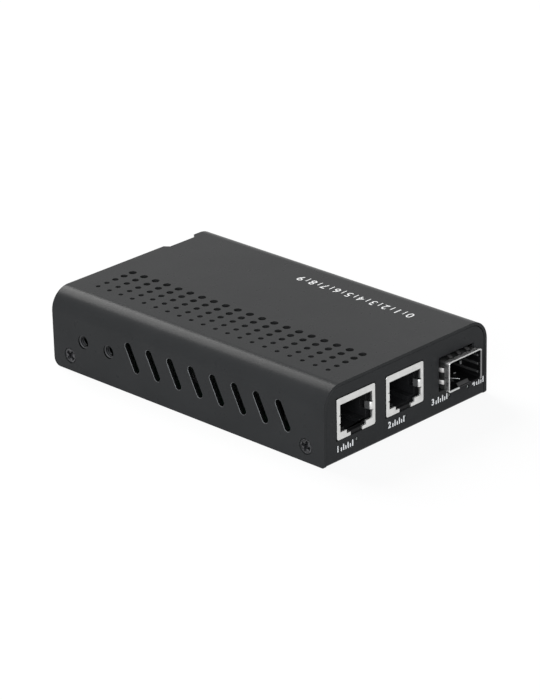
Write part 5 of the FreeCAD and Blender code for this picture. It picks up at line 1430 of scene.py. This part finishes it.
class CONVERTER_OT_bracket_threads(bpy.types.Operator):
    """Thread turns in the four tapped bracket holes"""
    bl_idname = "converter.bracket_threads"
    bl_label = "Bracket threads"
    ROOT_SHARE = 0.42  # half of the ridge's root as a share of the pitch
    CREST_SHARE = 0.25  # the ridge's crest as a share of its root
    STEPS = 28  # facets of one turn

    def execute(self, context):
        sizes = context.scene.converter_fastener
        first = self.thread(sizes)
        threads = []
        for place, out in bracket_places(sizes):
            turning = Matrix.Rotation(out.x * math.pi / 2, 4, "Y")
            threads.append(copy_of(first, "thread", place, turning))
        bpy.data.objects.remove(first)
        threads = join("bracket_threads", threads)
        dress(threads, coats_for(context.scene, "thread_steel"), "black_coat", limit=50)
        return {"FINISHED"}

    def thread(self, sizes):
        """A narrow upright strip that is wound round the Z axis and down from the origin."""
        radius = sizes.bracket_hole / 2
        tip = radius - sizes.thread_depth
        run = sizes.bracket_depth - sizes.thread_start - sizes.thread_pitch / 2
        turns = run / sizes.thread_pitch
        half = sizes.thread_pitch * self.ROOT_SHARE
        start = -sizes.thread_start
        ridge = add_block("ridge", (tip, -HAIR / 2, start - half),
                          (radius + HAIR, HAIR / 2, start + half))
        with editing(ridge):
            select_faces(ridge, lambda at, out: out.y > -0.99)
            bpy.ops.mesh.delete(type="FACE")
        with editing(ridge):
            select_corners(ridge, lambda at: near(at.x, tip))
            bpy.ops.transform.resize(value=(1, 1, self.CREST_SHARE))
        apply_modifier(ridge, "SCREW", axis="Z", angle=2 * math.pi * turns,
                       steps=int(self.STEPS * turns), screw_offset=-turns * sizes.thread_pitch,
                       use_normal_calculate=True, use_smooth_shade=True)
        with editing(ridge):
            bpy.ops.mesh.select_all(action="SELECT")
            bpy.ops.mesh.normals_make_consistent(inside=False)
        return ridge


class CONVERTER_OT_printed_marks(bpy.types.Operator):
    """Plain white numbers and ticks beside the ports and on the cover"""
    bl_idname = "converter.printed_marks"
    bl_label = "Printed marks"
    # These are shares of a mark's height.
    DIGIT_MIDDLE = 0.45
    DIGIT_WEIGHT = 0.035
    FONT_SIZE = 1.38
    TICKS_START = 1.05
    SHORT_TICK = 0.6
    TOP_TICK = 0.75
    TICK_STEPS = 6  # tick pitches in the length of a port mark's ticks
    DIGIT_PLACE = 0.3  # place of a number in its part of the row on the cover
    END_PART = 0.4  # part of a pitch that the row's last number leaves off

    def execute(self, context):
        sizes = context.scene.converter_mark
        pieces = self.number_row(sizes)
        places = (
            ("1", sizes.left_jack, sizes.jack_row, 6),
            ("2", sizes.middle_jack, sizes.jack_row, 6),
            ("3", sizes.cage_left, sizes.cage_row, 6),
            ("4", sizes.cage_right, sizes.cage_row, 4),
        )
        for digit, x, z, ticks in places:
            pieces += self.port_mark(sizes, digit, x, z, ticks)
        marks = join("printed_marks", pieces)
        dress(marks, coats_for(context.scene, "ink"), "black_coat")
        return {"FINISHED"}

    def port_mark(self, sizes, digit, x, z, ticks):
        """A number followed by upright ticks, short and long in turn."""
        size = sizes.port_height
        turning = Matrix.Rotation(math.pi / 2, 4, "X")
        place = Vector((x + self.DIGIT_MIDDLE * size, PANEL_FACE - sizes.thickness / 2, z))
        weight = self.DIGIT_WEIGHT * size
        pieces = [self.digit(digit, size, sizes.thickness, place, turning, weight)]
        start = self.TICKS_START * size
        pitch = (sizes.port_length - start) / self.TICK_STEPS
        bottom = z - size / 2
        for number in range(ticks):
            left = x + start + number * pitch
            height = size * (1.0 if number % 2 else self.SHORT_TICK)
            pieces.append(self.bar((left, PANEL_FACE - sizes.thickness, bottom),
                                   (left + sizes.line, PANEL_FACE, bottom + height), AXIS_Y))
        return pieces

    def digit(self, digit, size, thickness, place, turning, weight=0.0):
        """One flat figure whose middle is at the place."""
        deselect()
        bpy.ops.object.text_add(location=(0, 0, 0))
        text = bpy.context.object
        text.data.body = digit
        text.data.size = size * self.FONT_SIZE
        text.data.extrude = thickness / 2
        text.data.offset = weight
        text.data.align_x = "CENTER"
        text.data.align_y = "CENTER"
        bpy.ops.object.convert(target="MESH")
        text = bpy.context.object
        figure = copy_of(text, "figure", place, turning)
        bpy.data.objects.remove(text)
        return figure

    def number_row(self, sizes):
        """Numbers along the cover with a tick between each two, read from the box's right side."""
        face = COVER_HIGH.z - sizes.thickness / 4
        front = COVER_LOW.y + sizes.top_inset
        turning = Matrix.Rotation(math.pi / 2, 4, "Z")
        pitch = sizes.top_length / (sizes.top_numbers - self.END_PART)
        size, thickness = sizes.top_height, sizes.thickness
        foot = sizes.top_centre + size / 2
        tall = size * self.TOP_TICK
        half = sizes.top_line / 2
        pieces = []
        for number in range(sizes.top_numbers):
            y = front + (number + self.DIGIT_PLACE) * pitch
            place = Vector((sizes.top_centre, y, face + thickness / 2))
            pieces.append(self.digit(str(number), size, thickness, place, turning))
            if number + 1 < sizes.top_numbers:
                tick = y + pitch / 2
                pieces.append(self.bar((foot - tall, tick - half, face),
                                       (foot, tick + half, face + thickness), AXIS_Z))
        return pieces

    def bar(self, low, high, out):
        """A short printed bar with rounded ends."""
        bar = add_block("bar", low, high)
        extent = Vector(high) - Vector(low)
        narrow = sorted(extent)[1]
        return bevel(bar, lambda at, way: along(way, out), 0.3 * narrow, 2)


class CONVERTER_OT_stage(bpy.types.Operator):
    """Pale floor, soft studio light and the camera"""
    bl_idname = "converter.stage"
    bl_label = "Stage"
    # Name, way from the object, and tint of each soft light.
    LAMPS = (
        ("rear", (0.10, 0.75, 0.65), (1.0, 0.99, 0.975)),
        ("front", (-0.70, -0.60, 0.40), (0.96, 1.0, 1.035)),
        ("left", (-0.85, 0.05, 0.45), (1.0, 1.0, 1.0)),
        ("right", (0.75, 0.30, 0.60), (1.0, 1.0, 1.0)),
    )
    FLOOR_SIZE = 8.0
    FLOOR_GLOW = 0.9  # how much of the floor is plain white; the rest shows shadow

    def execute(self, context):
        values = context.scene.converter_stage
        context.scene.view_settings.view_transform = "Standard"
        self.floor()
        self.world(context.scene, values)
        for name, way, tint in self.LAMPS:
            self.lamp(values, f"{name}_softbox", way, getattr(values, f"{name}_light"), tint)
        self.camera(context.scene, values)
        return {"FINISHED"}

    def floor(self):
        """A wide plane a hair below the object, so that the two never coincide."""
        deselect()
        bpy.ops.mesh.primitive_plane_add(size=self.FLOOR_SIZE, location=(0, 0, -HAIR))
        floor = bpy.context.object
        floor.name = "floor"
        floor.data.materials.append(self.pale_floor())

    def pale_floor(self):
        """White to the camera and in reflections, with a little shadow; clear from below."""
        material = bpy.data.materials.new("pale_floor")
        material.use_nodes = True
        nodes, links = material.node_tree.nodes, material.node_tree.links
        shader = nodes["Principled BSDF"]
        shader.inputs["Base Color"].default_value = (0.86, 0.86, 0.86, 1)
        shader.inputs["Roughness"].default_value = 0.9
        white = nodes.new("ShaderNodeEmission")
        white.inputs["Color"].default_value = (1, 1, 1, 1)
        white.inputs["Strength"].default_value = 1.0
        clear = nodes.new("ShaderNodeBsdfTransparent")
        below = nodes.new("ShaderNodeNewGeometry").outputs["Backfacing"]
        seen = self.seen(nodes, links, self.FLOOR_GLOW)
        floor = self.mixed(nodes, links, seen, shader.outputs[0], white.outputs[0])
        one_sided = self.mixed(nodes, links, below, floor, clear.outputs[0])
        links.new(one_sided, nodes["Material Output"].inputs["Surface"])
        return material

    def mixed(self, nodes, links, factor, first, second):
        """The first shader where the factor is 0, the second where it is 1."""
        mix = nodes.new("ShaderNodeMixShader")
        for socket, output in zip(mix.inputs, (factor, first, second)):
            links.new(output, socket)
        return mix.outputs[0]

    def seen(self, nodes, links, glow):
        """A factor that is glow for rays from the camera, from gloss and through glass."""
        path = nodes.new("ShaderNodeLightPath")
        total = path.outputs["Is Camera Ray"]
        for kind in ("Is Glossy Ray", "Is Transmission Ray"):
            add = nodes.new("ShaderNodeMath")
            add.operation = "MAXIMUM"
            links.new(total, add.inputs[0])
            links.new(path.outputs[kind], add.inputs[1])
            total = add.outputs[0]
        scale = nodes.new("ShaderNodeMath")
        scale.operation = "MULTIPLY"
        scale.inputs[1].default_value = glow
        links.new(total, scale.inputs[0])
        return scale.outputs[0]

    def world(self, scene, values):
        """Even light from all round; the camera sees white."""
        world = scene.world or bpy.data.worlds.new("studio")
        scene.world = world
        world.use_nodes = True
        nodes, links = world.node_tree.nodes, world.node_tree.links
        light = nodes["Background"]
        light.inputs["Color"].default_value = (1, 1, 1, 1)
        light.inputs["Strength"].default_value = values.world
        white = nodes.new("ShaderNodeBackground")
        white.inputs["Color"].default_value = (1, 1, 1, 1)
        white.inputs["Strength"].default_value = 1.0
        seen = self.seen(nodes, links, 1.0)
        mixed = self.mixed(nodes, links, seen, light.outputs[0], white.outputs[0])
        links.new(mixed, nodes["World Output"].inputs["Surface"])

    def lamp(self, values, name, way, strength, tint):
        """A square soft light that looks at the middle of the object from the given way."""
        data = bpy.data.lights.new(name, "AREA")
        data.shape = "SQUARE"
        data.size = values.lamp_size
        data.energy = strength
        data.color = tint
        lamp = bpy.data.objects.new(name, data)
        bpy.context.scene.collection.objects.link(lamp)
        aim = AXIS_Z * COVER_HIGH.z / 2
        place = aim + Vector(way).normalized() * values.lamp_distance
        lamp.location = place
        lamp.rotation_euler = (aim - place).to_track_quat("-Z", "Y").to_euler()

    def camera(self, scene, values):
        """Stands at the given angles round the aim and leans by the roll."""
        data = bpy.data.cameras.new("camera")
        data.lens = values.lens
        data.sensor_width = 36
        data.sensor_fit = "AUTO"
        data.clip_start = 0.01
        camera = bpy.data.objects.new("camera", data)
        scene.collection.objects.link(camera)
        turn, lift = values.azimuth, values.elevation
        flat = math.cos(lift)
        back = Vector((math.sin(turn) * flat, -math.cos(turn) * flat, math.sin(lift)))
        right = Vector((math.cos(turn), math.sin(turn), 0))
        up = back.cross(right)
        lean = Matrix.Rotation(values.roll, 3, back)
        right, up = lean @ right, lean @ up
        place = Matrix.Translation(Vector(values.aim) + back * values.distance)
        camera.matrix_world = place @ Matrix((right, up, back)).transposed().to_4x4()
        scene.camera = camera


class CONVERTER_PT_panel(bpy.types.Panel):
    """Sidebar list of the converter's pieces"""
    bl_idname = "CONVERTER_PT_panel"
    bl_label = "Fibre media converter"
    bl_space_type = "VIEW_3D"
    bl_region_type = "UI"
    bl_category = "Converter"

    def draw(self, context):
        for operator in OPERATORS:
            self.layout.operator(operator.bl_idname)
        for group in GROUPS:
            box = self.layout.box()
            box.label(text=group.replace("converter_", "").capitalize())
            values = getattr(context.scene, group)
            for name in values.bl_rna.properties.keys():
                if name not in ("rna_type", "name"):
                    box.prop(values, name)


OPERATORS = (
    CONVERTER_OT_coat_solids,
    CONVERTER_OT_folded_cover,
    CONVERTER_OT_softened_solids,
    CONVERTER_OT_jack_shields,
    CONVERTER_OT_jack_contacts,
    CONVERTER_OT_module_cage,
    CONVERTER_OT_spring_collar,
    CONVERTER_OT_cover_screws,
    CONVERTER_OT_bracket_threads,
    CONVERTER_OT_printed_marks,
    CONVERTER_OT_stage,
)
GROUPS = {
    "converter_finish": FinishSettings,
    "converter_cover": CoverSettings,
    "converter_jack": JackSettings,
    "converter_cage": CageSettings,
    "converter_fastener": FastenerSettings,
    "converter_mark": MarkSettings,
    "converter_stage": StageSettings,
}


def register():
    for group in GROUPS.values():
        bpy.utils.register_class(group)
    for operator in OPERATORS:
        bpy.utils.register_class(operator)
    bpy.utils.register_class(CONVERTER_PT_panel)
    for name, group in GROUPS.items():
        setattr(bpy.types.Scene, name, bpy.props.PointerProperty(type=group))


def unregister():
    for name in GROUPS:
        delattr(bpy.types.Scene, name)
    bpy.utils.unregister_class(CONVERTER_PT_panel)
    for operator in reversed(OPERATORS):
        bpy.utils.unregister_class(operator)
    for group in reversed(GROUPS.values()):
        bpy.utils.unregister_class(group)


def main():
    register()
    for operator in OPERATORS:
        space, name = operator.bl_idname.split(".")
        getattr(getattr(bpy.ops, space), name)()


if __name__ == "__main__":
    main()
